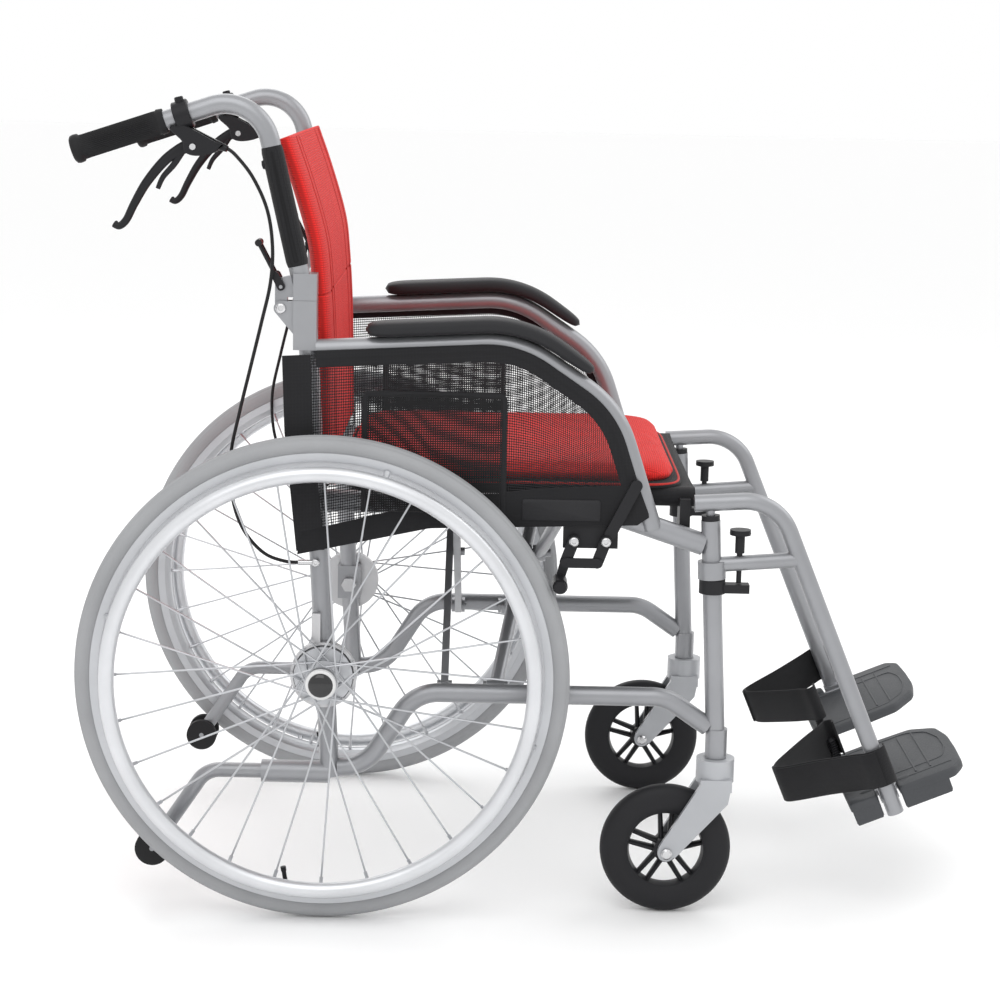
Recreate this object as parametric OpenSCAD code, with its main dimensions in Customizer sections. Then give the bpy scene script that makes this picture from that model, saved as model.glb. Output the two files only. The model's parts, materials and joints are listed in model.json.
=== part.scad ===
// Folding manual wheelchair with attendant brakes, in millimetres.
// +X is forward, +Y is the sitter's left, +Z is up and the floor is z = 0.
// Lengths along X are counted from the rear axle; on_floor() then moves the whole chair so that
// the origin lies on the floor under the middle of its box. Right-hand pieces are drawn, and
// left() mirrors them across the middle of the chair.

/* [Overall] */
// Distance between the middle planes of the two side frames
frame_span = 470; // [400:5:560]
// Outside diameter of the drive tyres
wheel_d = 560; // [470:5:580]
// Distance from the rear axle forward to the front post, halfway up
wheelbase = 444; // [430:2:530]
// Height of the middle of the seat rails
seat_z = 484; // [470:1:520]
// Height of the middle of the armrest tube at the rear post
arm_z = 650; // [630:1:740]
// Height of the pivot that the back folds at
hinge_z = 696; // [690:1:780]
// Height of the point where the push handle's two straight lines would meet
handle_z = 934; // [915:1:1020]

/* [Tubes] */
// Diameter of the frame posts, the lower rail and the armrest tube
tube_d = 22; // [18:0.5:24]
// Diameter of the upper frame rail
rail_d = 25.4; // [22:0.2:27]
// Diameter of the seat rails
seat_rail_d = 19; // [16:0.5:21]
// Diameter of the push handle tubes
cane_d = 22; // [18:0.5:24]
// Diameter of the footrest hanger's tube
hanger_d = 19.5; // [17:0.5:21]

/* [Drive wheel] */
// Distance from the side frame's middle plane out to the wheel's middle plane
wheel_offset = 43; // [41:0.5:60]
// Width of the drive tyre
tyre_w = 25; // [21:0.5:28]
// Radial depth of the tyre outside the rim
tyre_depth = 20; // [17:0.5:22]
// Radial depth of the rim
rim_depth = 15; // [12:0.5:18]
// Diameter of the handrim's tube
handrim_tube_d = 18; // [15:0.5:20]
// Diameter of the drive wheel's axle
axle_d = 12; // [10:0.5:14]
// Diameter of the brake drum on the inner side of the hub
drum_d = 68; // [58:1:80]
// Number of spokes
spoke_n = 18; // [12:2:36]

/* [Caster] */
// Diameter of the caster wheels
caster_d = 152; // [120:2:170]
// Width of the caster wheels
caster_w = 28; // [23:1:34]
// Distance of the caster's axle behind its swivel line
caster_trail = 55; // [48:1:66]
// Diameter of the caster's swivel stem
stem_d = 12; // [10:0.5:14]

/* [Back and arms] */
// Diameter of the hand grips
grip_d = 28; // [26:0.5:34]
// Length of the hand grips
grip_l = 108; // [90:1:130]
// Width of the armrest pads
pad_w = 46; // [38:1:50]
// Thickness of the armrest pads
pad_t = 17; // [14:1:21]
// Thickness of the back upholstery
back_t = 22; // [16:1:28]

/* [Seat] */
// Length of the seat cushion
cushion_l = 400; // [380:5:410]
// Thickness of the seat cushion
cushion_t = 28; // [22:1:40]

/* [Footrest] */
// Length of the footplate in front of its hanger tube
plate_front = 95; // [80:1:115]
// Length of the footplate behind its hanger tube
plate_rear = 48; // [40:1:58]
// Width of the footplate towards the middle of the chair
plate_w = 172; // [140:1:185]
// Thickness of the footplate
plate_t = 12; // [10:1:15]

/* [Hidden] */
$fn = 48;

// Clearances
run = 0.05;         // radial, a pin that turns in its bore
gap = 0.3;          // between pieces of different bodies that slide past each other
seam = 0.5;         // between soft pieces and what they lie on
bend_lap = 0.5;     // how far a straight length laps over a bend
bend_thin = 0.03;   // how much thinner a bend is than the straight lengths

// Middle planes and radii
half = frame_span / 2;
tube_r = tube_d / 2;
rail_r = rail_d / 2;
seat_rail_r = seat_rail_d / 2;
cane_r = cane_d / 2;
hanger_r = hanger_d / 2;
wheel_r = wheel_d / 2;
wheel_y = half + wheel_offset;
rim_r = wheel_r - tyre_depth;
rim_in_r = rim_r - rim_depth;
drum_y = half + tube_r + 0.3;            // inner face of the hub brake, just outside the rear post
band_w = 11;
handrim_r = wheel_r - 40;
handrim_y = wheel_y + tyre_w / 2 + 6 + handrim_tube_d / 2;
axle_z = wheel_r;
axle_r = axle_d / 2;
drum_r = drum_d / 2;
caster_r = caster_d / 2;
stem_r = stem_d / 2;
grip_r = grip_d / 2;

// Side frame: both posts lean forward on the way down
post_lean = 3.2;
function rear_x(z) = (axle_z - z) * tan(post_lean);
function front_x(z) = wheelbase + (330 - z) * tan(post_lean);
rear_bottom_z = axle_z - 125;
socket_z = hinge_z + 9;                  // top of the fixed half of the back hinge
front_top_z = seat_z - 20;
front_bottom_z = caster_d + 34;
upper_z = seat_z - 6;
lower_z = 256;
bite = tube_r - 2;                       // rails start this far from a post's middle line
upper_rail = [[rear_x(upper_z) + bite, upper_z], [wheelbase - 144, upper_z],
    [front_x(upper_z - 44) - bite, upper_z - 42]];
lower_rail = [[rear_x(rear_bottom_z + 10) + bite, rear_bottom_z + 10],
    [48, rear_bottom_z + 12], [104, lower_z],
    [wheelbase - 52, lower_z], [front_x(lower_z - 41) - bite, lower_z - 34]];
arm_out = 6;                             // the armrest stands this far outside the frame's plane
arm_y = half + arm_out;
arm_end_x = wheelbase - 74;
arm_path = [[rear_x(arm_z) + bite, arm_z + 1], [arm_end_x - 155, arm_z + 14], [arm_end_x - 45, arm_z - 60],
    [arm_end_x, upper_z - 24]];
arm_bend = 120;

// Cross brace: each side hinges on ears inside the lower rail and ends in a seat rail
ear_in = 22;
pivot_y = half - ear_in;
seat_rail_y = half - 35;
brace_rise = seat_z - lower_z;
brace_run = pivot_y + seat_rail_y;
brace_angle = atan2(brace_rise, brace_run);
brace_l = norm([brace_rise, brace_run]);
cross_z = lower_z + pivot_y * tan(brace_angle);
brace_pin_r = 4;
cross_pin_r = 5;
bar_t = 8.5;
bar_w = 20;
rear_bar_x = 133;
front_tube_r = 8;
foot = front_tube_r + 2;                 // half the width of a round bar's foot
front_bar_low_x = 196;
front_bar_high_x = 262;
front_step = 2 * front_tube_r + 2;
seat_rail_x0 = 24;
seat_rail_x1 = wheelbase - 28;

// Back hinge, push handle and its grip
hinge_x = rear_x(hinge_z) - 28;
hinge_pin_r = 4;
cane_x = rear_x(hinge_z) - 1;
cane_lean = 13;
grip_slope = 18.6;
handle_corner = [cane_x - (handle_z - socket_z) * tan(cane_lean), handle_z];
function on_grip(s) = handle_corner - s * [cos(grip_slope), sin(grip_slope)];
function on_cane(s) = handle_corner + s * [sin(cane_lean), -cos(cane_lean)];
cane_bend = 50;
grip_start = 108;
grip_end = grip_start + grip_l;
flare = 2;                               // extra radius of the rim at the end of the grip

// Attendant brake
clamp_at = 88;
lever_pivot = on_grip(clamp_at) + [12, -34];
lever_tip = lever_pivot + [-84, -88];
lever_t = 6;

// Caster
stem_x = front_x(front_bottom_z);
caster_x = stem_x - caster_trail;
fork_gap = caster_w / 2 + 2.5;
fork_t = 7;
caster_pin_r = 4;

// Parking brake: a parallelogram that lays a roller on the tyre
roller_r = 8.5;
roller_z = upper_z - 83;
roller_x = sqrt(pow(wheel_r + roller_r + 1.2, 2) - pow(roller_z - axle_z, 2));
arm_pivot = [roller_x + 15, roller_z + 47];
handle_pivot = arm_pivot + [36, 0];
crank = [-9, -25];
park_pin_r = 4;
link_pin_r = 3;
strip_w = 13;
panel_y = half + tube_r + 6;
panel_t = 3;
park_y = panel_y + panel_t + 1.5;
park_t = 3.5;

// Footrest hanger
swing_z = seat_z - 1;
hanger_lean = 67.4;
hanger_top_x = front_x(swing_z) + 76;
hanger_dir = [cos(hanger_lean), -sin(hanger_lean)];
hanger_corner = [hanger_top_x, swing_z + 6];
hanger_bend = 55;
hanger_l = 396;
function on_hanger(s) = hanger_corner + s * hanger_dir;
plate_s = 372;
plate_at = on_hanger(plate_s);
plate_tilt = 90 - hanger_lean;
plate_pin_r = 4;
plate_hinge = hanger_r + 8;              // the footplate's pin passes this far inboard of the tube
knuckle_r = 8;
notch = hanger_r + 3;                    // half the slot that the plate leaves around the tube
skirt = 22;
latch_z = swing_z - 94;
tongue = on_hanger(74);
cap_h = 6;
knob_x = front_x(latch_z) + 30;

// Anti-tippers
tip_z = axle_z - 121;
tip_r = 8.5;
tip_sleeve_r = 11;
tip_wheel_r = 20;
tip_axle = [-197, tip_z - 91];
tip_path = [[-16, tip_z], [-136, tip_z], tip_axle];

// Brake cable, from the lever's bracket down to the hub brake
cable_r = 2;
cable_route = [
    [-114, -240, 872], [-102, -244, 864], [-82, -250, 840],
        [-66, -252, 805], [-60, -252, 765], [-62, -254, 725],
    [-72, -254, 680], [-84, -254, 630], [-96, -254, 580], [-106, -253, 530], [-104, -252, 482],
    [-92, -251, 446], [-70, -250, 420], [-46, -249, 410], [-24, -249, 409],
];

// The whole chair's box, and the shift that centres it
front_tip = plate_at[0] + plate_front * cos(plate_tilt) + plate_t / 2 * sin(plate_tilt);
rear_tip = min(on_grip(grip_end)[0] - (grip_r + flare) * sin(grip_slope), -wheel_r);
mid_x = (front_tip + rear_tip) / 2;

frame_silver = "#b9bbbe";
trim_black = "#1d1d1f";
tyre_grey = "#b4b5b5";
fork_grey = "#bfc0c1";
bare_steel = "#d6d7d9";
fabric_red = "#e2372f";

// ---- Helpers ----

module on_floor() translate([-mid_x, 0, 0]) children();
module left() mirror([0, 1, 0]) children();

// A point of the side view [x, z] at the depth y
function at(p, y) = [p[0], y, p[1]];
function unit(v) = v / norm(v);

// A round bar from p to q
module rod(p, q, r) {
    v = q - p;
    translate(p)
        rotate([0, acos(v[2] / norm(v)), atan2(v[1], v[0])])
            cylinder(h = norm(v), r = r);
}

// A cylinder along +Y that starts at y0
module pin_y(p, y0, y1, r) translate([p[0], y0, p[1]]) rotate([-90, 0, 0]) cylinder(h = y1 - y0, r = r);

// A cylinder along +X that starts at x0, at [y, z]
module pin_x(p, x0, x1, r) translate([x0, p[0], p[1]]) rotate([0, 90, 0]) cylinder(h = x1 - x0, r = r);

// The length that a bend takes from each side of corner i
function bend_cut(p, i, bend) = bend * tan(acos(unit(p[i] - p[i - 1]) * unit(p[i + 1] - p[i])) / 2);

// A tube along corner points, with each inner corner bent on a radius. The straight lengths lap
// a little way over the bends, which are a hair thinner, so that the two join without a gap.
module bent_tube(p, r, bend) {
    last = len(p) - 1;
    for (i = [0:last - 1]) {
        d = unit(p[i + 1] - p[i]);
        start = p[i] + d * (i == 0 ? 0 : bend_cut(p, i, bend) - bend_lap);
        stop = p[i + 1] - d * (i == last - 1 ? 0 : bend_cut(p, i + 1, bend) - bend_lap);
        rod(start, stop, r);
    }
    for (i = [1:last - 1]) {
        a = unit(p[i] - p[i - 1]);
        b = unit(p[i + 1] - p[i]);
        turn = acos(a * b);
        centre = p[i] + unit(b - a) * bend / cos(turn / 2);
        side = unit(p[i] - a * bend_cut(p, i, bend) - centre);
        n = cross(side, a);
        multmatrix([
            [side[0], a[0], n[0], centre[0]],
            [side[1], a[1], n[1], centre[1]],
            [side[2], a[2], n[2], centre[2]],
            [0, 0, 0, 1],
        ])
            rotate_extrude(angle = turn) translate([bend, 0]) circle(r = r - bend_thin);
    }
}

// The same for side-view points, all at the depth y
module bent_side(p, y, r, bend) bent_tube([for (q = p) at(q, y)], r, bend);

// Points along a side-view path with bent corners, pushed sideways by d to its left
function side_left(v) = [-v[1], v[0]];
function corner_samples(p, i, bend, d) =
    let (
        a = unit(p[i] - p[i - 1]),
        b = unit(p[i + 1] - p[i]),
        turn = acos(a * b),
        way = cross(a, b) > 0 ? 1 : -1,
        centre = p[i] - a * bend_cut(p, i, bend) + way * bend * side_left(a)
    )
    [for (k = [0:6]) let (t = way * turn * k / 6, n = -way * side_left(a))
        centre + (bend - way * d) * [n[0] * cos(t) - n[1] * sin(t), n[0] * sin(t) + n[1] * cos(t)]];
function offset_path(p, bend, d) = let (last = len(p) - 1) concat(
    [p[0] + d * side_left(unit(p[1] - p[0]))],
    [for (i = [1:last - 1]) each corner_samples(p, i, bend, d)],
    [p[last] + d * side_left(unit(p[last] - p[last - 1]))]
);
function backwards(v) = [for (i = [len(v) - 1:-1:0]) v[i]];

// A side-view outline made solid from y0 to y1
module side_plate(outline, y0, y1)
    translate([0, y1, 0]) rotate([90, 0, 0]) linear_extrude(y1 - y0) polygon(outline);

// A flat strip with round ends in the side view, bored at both ends
module strip(p, q, y0, y1, w, bore_p, bore_q) {
    d = unit(q - p);
    n = side_left(d) * w / 2;
    difference() {
        union() {
            side_plate([p + n, q + n, q - n, p - n], y0, y1);
            pin_y(p, y0, y1, w / 2);
            pin_y(q, y0, y1, w / 2);
        }
        if (bore_p > 0) pin_y(p, y0 - 1, y1 + 1, bore_p);
        if (bore_q > 0) pin_y(q, y0 - 1, y1 + 1, bore_q);
    }
}

// ---- Side frame ----

module rear_post_bar(r) rod(at([rear_x(rear_bottom_z), rear_bottom_z], -half),
    at([rear_x(socket_z - 20), socket_z - 20], -half), r);
module front_post_bar(r) rod(at([front_x(front_bottom_z + 14), front_bottom_z + 14], -half),
    at([front_x(front_top_z), front_top_z], -half), r);

module hinge_block(z0, z1) translate([cane_x - 13, -half - 13, z0]) cube([26, 26, z1 - z0]);

module rear_post() color(frame_silver) {
    difference() {
        union() {
            rear_post_bar(tube_r);
            hinge_block(socket_z - 55, socket_z);
            // two ears carry the pin that the back folds on
            for (y = [-half - 9, -half + 5])
                side_plate([[cane_x - 12, hinge_z - 30], [cane_x - 12, socket_z - 1],
                    [hinge_x, hinge_z + 8], [hinge_x - 7, hinge_z - 4]], y, y + 4);
            for (y = [-half - 9, -half + 5]) pin_y([hinge_x, hinge_z], y, y + 4, 8);
            pin_y([hinge_x, hinge_z], -half - 9, -half + 9, hinge_pin_r);
            // plate behind the axle and sleeve for the anti-tipper
            translate([-15, -half - 8, axle_z - 20]) cube([30, tube_r + 9, 44]);
            pin_x([-half, tip_z], -72, rear_x(tip_z), tip_sleeve_r + 2);
        }
        pin_y([0, axle_z], -half - 30, -half + 30, axle_r);
        pin_x([-half, tip_z], -73, -14, tip_r + run);
    }
}

module front_post() color(frame_silver) difference() {
    union() {
        front_post_bar(tube_r);
        translate([stem_x, -half, front_bottom_z]) cylinder(h = 34, r = tube_r + 1.5);
    }
    translate([stem_x, -half, front_bottom_z - 1]) cylinder(h = 31, r = stem_r + run);
    rod(at([front_x(front_top_z - 14), front_top_z - 14], -half),
        at([front_x(front_top_z + 2), front_top_z + 2], -half), 5 + run);
}

// Two ears inside the lower rail and the pin that a brace bar between x0 and x1 turns on
module brace_ears(x0, x1) {
    for (x = [x0 - gap - 4, x1 + gap]) {
        pin_x([-pivot_y, lower_z], x, x + 4, 9);
        translate([x, -half + 5, lower_z - 8]) cube([4, ear_in - 5, 16]);
    }
    pin_x([-pivot_y, lower_z], x0 - gap - 6, x1 + gap + 6, brace_pin_r);
}

module frame_rails(x_flat, x_round) color(frame_silver) {
    difference() {
        union() {
            bent_side(lower_rail, -half, tube_r, 50);
            brace_ears(x_flat, x_flat + bar_t);
            brace_ears(x_round - foot, x_round + foot);
        }
        rear_post_bar(tube_r);
        front_post_bar(tube_r);
    }
    difference() {
        bent_side(upper_rail, -half, rail_r, 60);
        rear_post_bar(tube_r);
        front_post_bar(tube_r);
    }
    difference() {
        bent_side(arm_path, -arm_y, tube_r, arm_bend);
        rear_post_bar(tube_r);
        hinge_block(socket_z - 55, socket_z);
        bent_side(upper_rail, -half, rail_r, 60);
    }
}

module armrest_pad() color(trim_black) {
    pad_path = [[rear_x(arm_z) + 58, arm_z + 4], arm_path[1], arm_path[2] + [-32, 22]];
    side_plate(concat(offset_path(pad_path, arm_bend, tube_r + seam),
        backwards(offset_path(pad_path, arm_bend, tube_r + seam + pad_t))),
        -arm_y - pad_w / 2, -arm_y + pad_w / 2);
}

module side_panel() color(trim_black) {
    top = offset_path([[rear_x(arm_z) - 26, arm_z - 4], arm_path[1] + [0, -4],
        arm_path[2], [arm_end_x, upper_z - 8]],
        arm_bend, 1);
    side_plate(concat(top, [[arm_end_x - 14, upper_z - 20], [118, upper_z - 28], [-26, upper_z - 62]]),
        -panel_y - panel_t, -panel_y);
}

module frame_fittings() color(trim_black) {
    // cap on the front post, with the hanger's upper bearing
    difference() {
        rod(at([front_x(front_top_z), front_top_z], -half),
            at([front_x(front_top_z + cap_h), front_top_z + cap_h], -half), tube_r - 0.5);
        rod(at([front_x(front_top_z - 2), front_top_z - 2], -half),
            at([front_x(front_top_z + cap_h + 2), front_top_z + cap_h + 2], -half), 5 + run);
    }
    // cradles that the seat rail drops into
    for (x = [seat_rail_x0 + 14, seat_rail_x1 - 14]) difference() {
        translate([x, -half + rail_r - 1.2, upper_z - (x > arm_end_x ? 34 : 8)])
            cube([12, half - rail_r - seat_rail_y + seat_rail_r + 4, (x > arm_end_x ? 34 : 8) + 7]);
        pin_x([-seat_rail_y, seat_z], x - 1, x + 13, seat_rail_r + gap);
        bent_side(upper_rail, -half, rail_r, 60);
    }
    // collar and catch for the hanger
    difference() {
        union() {
            translate([front_x(latch_z), -half, latch_z - 9]) cylinder(h = 16, r = tube_r + 4);
            translate([front_x(latch_z), -half - 8, latch_z - 8])
                cube([knob_x - front_x(latch_z) + 12, 16, 10]);
        }
        front_post_bar(tube_r);
    }
    // bracket of the parking brake, bolted to the upper rail
    difference() {
        translate([arm_pivot[0] - 12, -half - rail_r - 3, arm_pivot[1] - 10])
            cube([62, 6, upper_z - arm_pivot[1] + 14]);
        bent_side(upper_rail, -half, rail_r, 60);
    }
    for (p = [arm_pivot, handle_pivot]) {
        pin_y(p, -park_y - park_t - gap, -half - rail_r - 3, park_pin_r);
        pin_y(p, -park_y - park_t - gap - 3, -park_y - park_t - gap, 6.5);
    }
}

// ---- Drive wheel ----

module hub_brake() color(bare_steel) {
    // axle with its nut inside the post
    pin_y([0, axle_z], -wheel_y - 14, -half + tube_r + 8, axle_r);
    difference() {
        pin_y([0, axle_z], -half + tube_r + 1, -half + tube_r + 10, 10, $fn = 6);
        pin_y([0, axle_z], -half + tube_r, -half + tube_r + 8, axle_r);
    }
    // backing plate, band around the drum and the arm that the cable pulls
    difference() {
        pin_y([0, axle_z], -drum_y - band_w, -drum_y, drum_r + 4);
        pin_y([0, axle_z], -drum_y - 1 - band_w, -drum_y + 1, axle_r);
        pin_y([0, axle_z], -drum_y - 1 - band_w, -drum_y - 2, drum_r + 0.8);
    }
    translate([-14, -drum_y - 9, axle_z + drum_r + 3]) cube([10, 8, 34]);
}

module tyre() color(tyre_grey) translate([0, -wheel_y, axle_z]) rotate([90, 0, 0]) rotate_extrude($fn = 96)
    intersection() {
        translate([wheel_r - tyre_w / 2, 0]) circle(r = tyre_w / 2);
        translate([rim_r, -tyre_w]) square([tyre_depth + 5, 2 * tyre_w]);
    }

module drive_wheel() color(bare_steel) {
    flange_r = 19;
    hub_half = 15;
    translate([0, -wheel_y, axle_z]) rotate([90, 0, 0]) {
        rotate_extrude($fn = 96) polygon([[rim_in_r, -7], [rim_in_r, 7], [rim_in_r + 5, 11], [rim_r, 11],
            [rim_r, -11], [rim_in_r + 5, -11]]);
        difference() {
            union() {
                translate([0, 0, -hub_half]) cylinder(h = 2 * hub_half, r = flange_r - 3);
                for (z = [-hub_half, hub_half - 4]) translate([0, 0, z]) cylinder(h = 4, r = flange_r);
                translate([0, 0, hub_half]) cylinder(h = 7, r = flange_r - 3);
                translate([0, 0, drum_y + 3 - wheel_y])
                    cylinder(h = wheel_y - drum_y - 3 - hub_half + 1, r = drum_r);
            }
            translate([0, 0, drum_y - wheel_y]) cylinder(h = wheel_y - drum_y + 17, r = axle_r + run);
        }
        for (i = [0:spoke_n - 1]) rotate([0, 0, 90 + i * 360 / spoke_n]) {
            foot = (i % 2 == 0 ? 1 : -1) * (hub_half - 2);
            rod([flange_r - 2, 0, foot], [rim_in_r + 1, 0, sign(foot) * 2], 1.1);
        }
    }
}

module handrim() color(bare_steel) {
    translate([0, -handrim_y, axle_z]) rotate([90, 0, 0]) rotate_extrude($fn = 96)
        translate([handrim_r, 0]) circle(r = handrim_tube_d / 2);
    for (a = [73.5:90:343.5]) {
        c = [cos(a), sin(a)];
        rod(at([0, axle_z] + c * (rim_in_r + 6), -wheel_y - 12.5),
            at([0, axle_z] + c * handrim_r, -handrim_y), 3.5);
    }
}

// ---- Caster ----

module caster_fork() color(fork_grey) {
    crown_z = caster_d + 6;
    translate([stem_x, -half, crown_z]) {
        cylinder(h = front_bottom_z - crown_z - 0.6, r = 22);
        cylinder(h = front_bottom_z - crown_z + 26, r = stem_r);
    }
    translate([stem_x - 18, -half - fork_gap - fork_t, crown_z - 8]) cube([36, 2 * (fork_gap + fork_t), 14]);
    for (y = [-half - fork_gap - fork_t, -half + fork_gap]) {
        strip([caster_x, caster_r], [caster_x + 14, caster_r + 22], y, y + fork_t, 20, 0, 0);
        side_plate([[caster_x - 9, caster_r + 6], [stem_x - 18, crown_z], [stem_x + 18, crown_z],
            [stem_x + 14, crown_z - 22], [caster_x + 10, caster_r - 6]], y, y + fork_t);
    }
    pin_y([caster_x, caster_r], -half - fork_gap - fork_t - 3, -half + fork_gap + fork_t + 3, caster_pin_r);
}

module caster_wheel() color(trim_black) translate([caster_x, -half, caster_r]) rotate([90, 0, 0]) {
    tread_r = caster_w / 2;
    core_r = caster_r - 26;
    rotate_extrude($fn = 96) union() {
        translate([caster_r - tread_r, 0]) circle(r = tread_r);
        translate([core_r - 2, -9]) square([caster_r - tread_r - core_r + 4, 18]);
    }
    difference() {
        union() {
            translate([0, 0, -caster_w / 2]) cylinder(h = caster_w, r = 14);
            for (a = [18:72:306]) rotate([0, 0, a]) translate([8, -4.5, -7]) cube([core_r - 8, 9, 14]);
        }
        translate([0, 0, -caster_w]) cylinder(h = 2 * caster_w, r = caster_pin_r + run);
    }
}

// ---- Push handle with its grip and brake ----

module push_handle() color(frame_silver) {
    difference() {
        union() {
            bent_side([on_cane(norm(on_cane(0) - [cane_x, socket_z + 12])), handle_corner,
                on_grip(grip_end - 4)],
                -half, cane_r, cane_bend);
            hinge_block(socket_z + gap, socket_z + 30);
            side_plate([[hinge_x - 7, hinge_z], [hinge_x - 7, hinge_z + 32], [cane_x - 10, hinge_z + 38],
                [cane_x - 10, hinge_z + 12], [hinge_x + 7, hinge_z + 12], [hinge_x + 7, hinge_z]],
                -half - 4.5, -half + 4.5);
            pin_y([hinge_x, hinge_z], -half - 4.5, -half + 4.5, 8);
        }
        pin_y([hinge_x, hinge_z], -half - 6, -half + 6, hinge_pin_r + run);
    }
    pin_y([hinge_x, hinge_z + 24], -half - 12, -half + 12, 2);
}

module grip() color(trim_black) difference() {
    union() {
        rod(at(on_grip(grip_start), -half), at(on_grip(grip_end), -half), grip_r);
        rod(at(on_grip(grip_end - 5), -half), at(on_grip(grip_end), -half), grip_r + flare);
    }
    rod(at(on_grip(grip_start - 1), -half), at(on_grip(grip_end - 4), -half), cane_r);
}

module brake_bracket() color(trim_black) {
    difference() {
        union() {
            rod(at(on_grip(clamp_at - 8), -half), at(on_grip(clamp_at + 8), -half), cane_r + 5);
            side_plate([on_grip(clamp_at - 7) + [4, -10], on_grip(clamp_at + 9) + [0, -10],
                lever_pivot + [-16, 8],
                lever_pivot + [-6, -9], lever_pivot + [10, -8], lever_pivot + [30, -2], lever_pivot + [32, 8]],
                -half - 12, -half + 12);
        }
        rod(at(on_grip(clamp_at - 14), -half), at(on_grip(clamp_at + 14), -half), cane_r);
        // slot that the lever turns in, with its pin
        side_plate([lever_pivot + [-30, 14], lever_pivot + [14, 14],
            lever_pivot + [14, -30], lever_pivot + [-30, -30]],
            -half - lever_t / 2 - gap, -half + lever_t / 2 + gap);
    }
    pin_y(lever_pivot, -half - 12, -half + 12, 3);
}

module brake_lever() color(trim_black) {
    blade = [lever_pivot, lever_pivot + [-26, -10], lever_pivot + [-56, -42], lever_tip];
    difference() {
        union() {
            pin_y(lever_pivot, -half - lever_t / 2, -half + lever_t / 2, 8);
            side_plate(concat(offset_path(blade, 25, 5), backwards(offset_path(blade, 25, -5))),
                -half - lever_t / 2, -half + lever_t / 2);
            pin_y(lever_tip, -half - 5, -half + 5, 7);
        }
        pin_y(lever_pivot, -half - 10, -half + 10, 3 + run);
    }
}

module fold_release() color(trim_black) {
    eye = [hinge_x, hinge_z + 24];
    top = eye + [-25, 48];
    for (y = [-half - 10, -half + 5.5]) {
        strip(eye, eye + [-6, 12], y, y + 4.5, 9, 2 + run, 0);
        rod(at(eye + [-5, 10], y + 2.25), at(top, y + 2.25), 2.2);
    }
    pin_y(top, -half - 10, -half + 10, 4);
}

// ---- Parking brake ----

module parking_handle() color(trim_black) difference() {
    union() {
        strip(handle_pivot, handle_pivot + crank, -park_y - park_t, -park_y, strip_w, 0, link_pin_r + run);
        strip(handle_pivot + [5, 8], handle_pivot + [33, 64], -park_y - park_t, -park_y, strip_w, 0, 0);
    }
    pin_y(handle_pivot, -park_y - park_t - 1, -park_y + 1, park_pin_r + run);
}

module parking_link() color(trim_black) {
    y1 = -park_y - park_t - gap;
    strip(arm_pivot + crank, handle_pivot + crank, y1 - 3, y1, 11, 0, 0);
    for (p = [arm_pivot, handle_pivot]) pin_y(p + crank, y1, -park_y, link_pin_r);
}

module parking_arm() color(trim_black) {
    roller = [roller_x, roller_z];
    strip(arm_pivot, arm_pivot + crank, -park_y - park_t, -park_y,
        strip_w, park_pin_r + run, link_pin_r + run);
    difference() {
        side_plate([arm_pivot + crank + [-6, 0], arm_pivot + crank + [4, -5],
            roller + [4, -2], roller + [-6, 0]],
            -park_y - park_t, -park_y);
        pin_y(arm_pivot + crank, -park_y - park_t - 1, -park_y + 1, link_pin_r + run);
    }
    pin_y(roller, -wheel_y - tyre_w / 2 + 2, -park_y + 2, roller_r);
}

// ---- Footrest ----

module hanger() color(frame_silver) {
    difference() {
        union() {
            bent_side([[front_x(swing_z) - 18, swing_z], hanger_corner, on_hanger(hanger_l)],
                -half, hanger_r, hanger_bend);
            rod(at([front_x(latch_z + 24) + 8, latch_z + 24], -half), at(tongue, -half), hanger_r - 1);
            rod(at([front_x(latch_z + 8), latch_z + 8], -half),
                at([front_x(latch_z + 28), latch_z + 28], -half),
                tube_r + 5);
            // block with the pin that the footplate flips on
            on_plate() {
                translate([-notch + 2, 0, -knuckle_r]) cube([2 * notch - 4, plate_hinge, 2 * knuckle_r]);
                translate([-34, plate_hinge, 0]) rotate([0, 90, 0]) cylinder(h = 68, r = plate_pin_r);
            }
        }
        front_post_bar(tube_r + run);
        translate([knob_x, -half, latch_z]) cylinder(h = 60, r = 3 + run);
    }
    // pin into the top of the post
    rod(at([front_x(front_top_z - 10), front_top_z - 10], -half), at([front_x(swing_z), swing_z], -half), 5);
}

// Local frame on the footplate: x along its length, y towards the middle of the chair, z up from its face
module on_plate() translate(at(plate_at, -half)) rotate([0, -plate_tilt, 0]) children();

module footplate() color(trim_black) on_plate() {
    out = -hanger_r + 1;
    long = plate_rear + plate_front;
    difference() {
        union() {
            translate([-plate_rear, out, -plate_t / 2]) linear_extrude(plate_t) difference() {
                square([long, plate_w + hanger_r]);
                for (x = [0, long]) translate([x, plate_w + hanger_r]) circle(r = 16, $fn = 4);
            }
            for (x = [-plate_rear, notch]) translate([x, out, -skirt])
                cube([plate_rear - notch, 6, skirt]);
            for (x = [-31, notch]) translate([x, plate_hinge, 0])
                rotate([0, 90, 0]) cylinder(h = 31 - notch, r = knuckle_r);
        }
        translate([-60, plate_hinge, 0]) rotate([0, 90, 0]) cylinder(h = 120, r = plate_pin_r + run);
        translate([-notch, out - 1, -50]) cube([2 * notch, plate_hinge + knuckle_r - out + 3, 100]);
    }
    // post that the heel loop is tied to
    translate([-plate_rear + 12, plate_w - 22, plate_t / 2 - 1]) cylinder(h = 33, r = 6);
}

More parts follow.
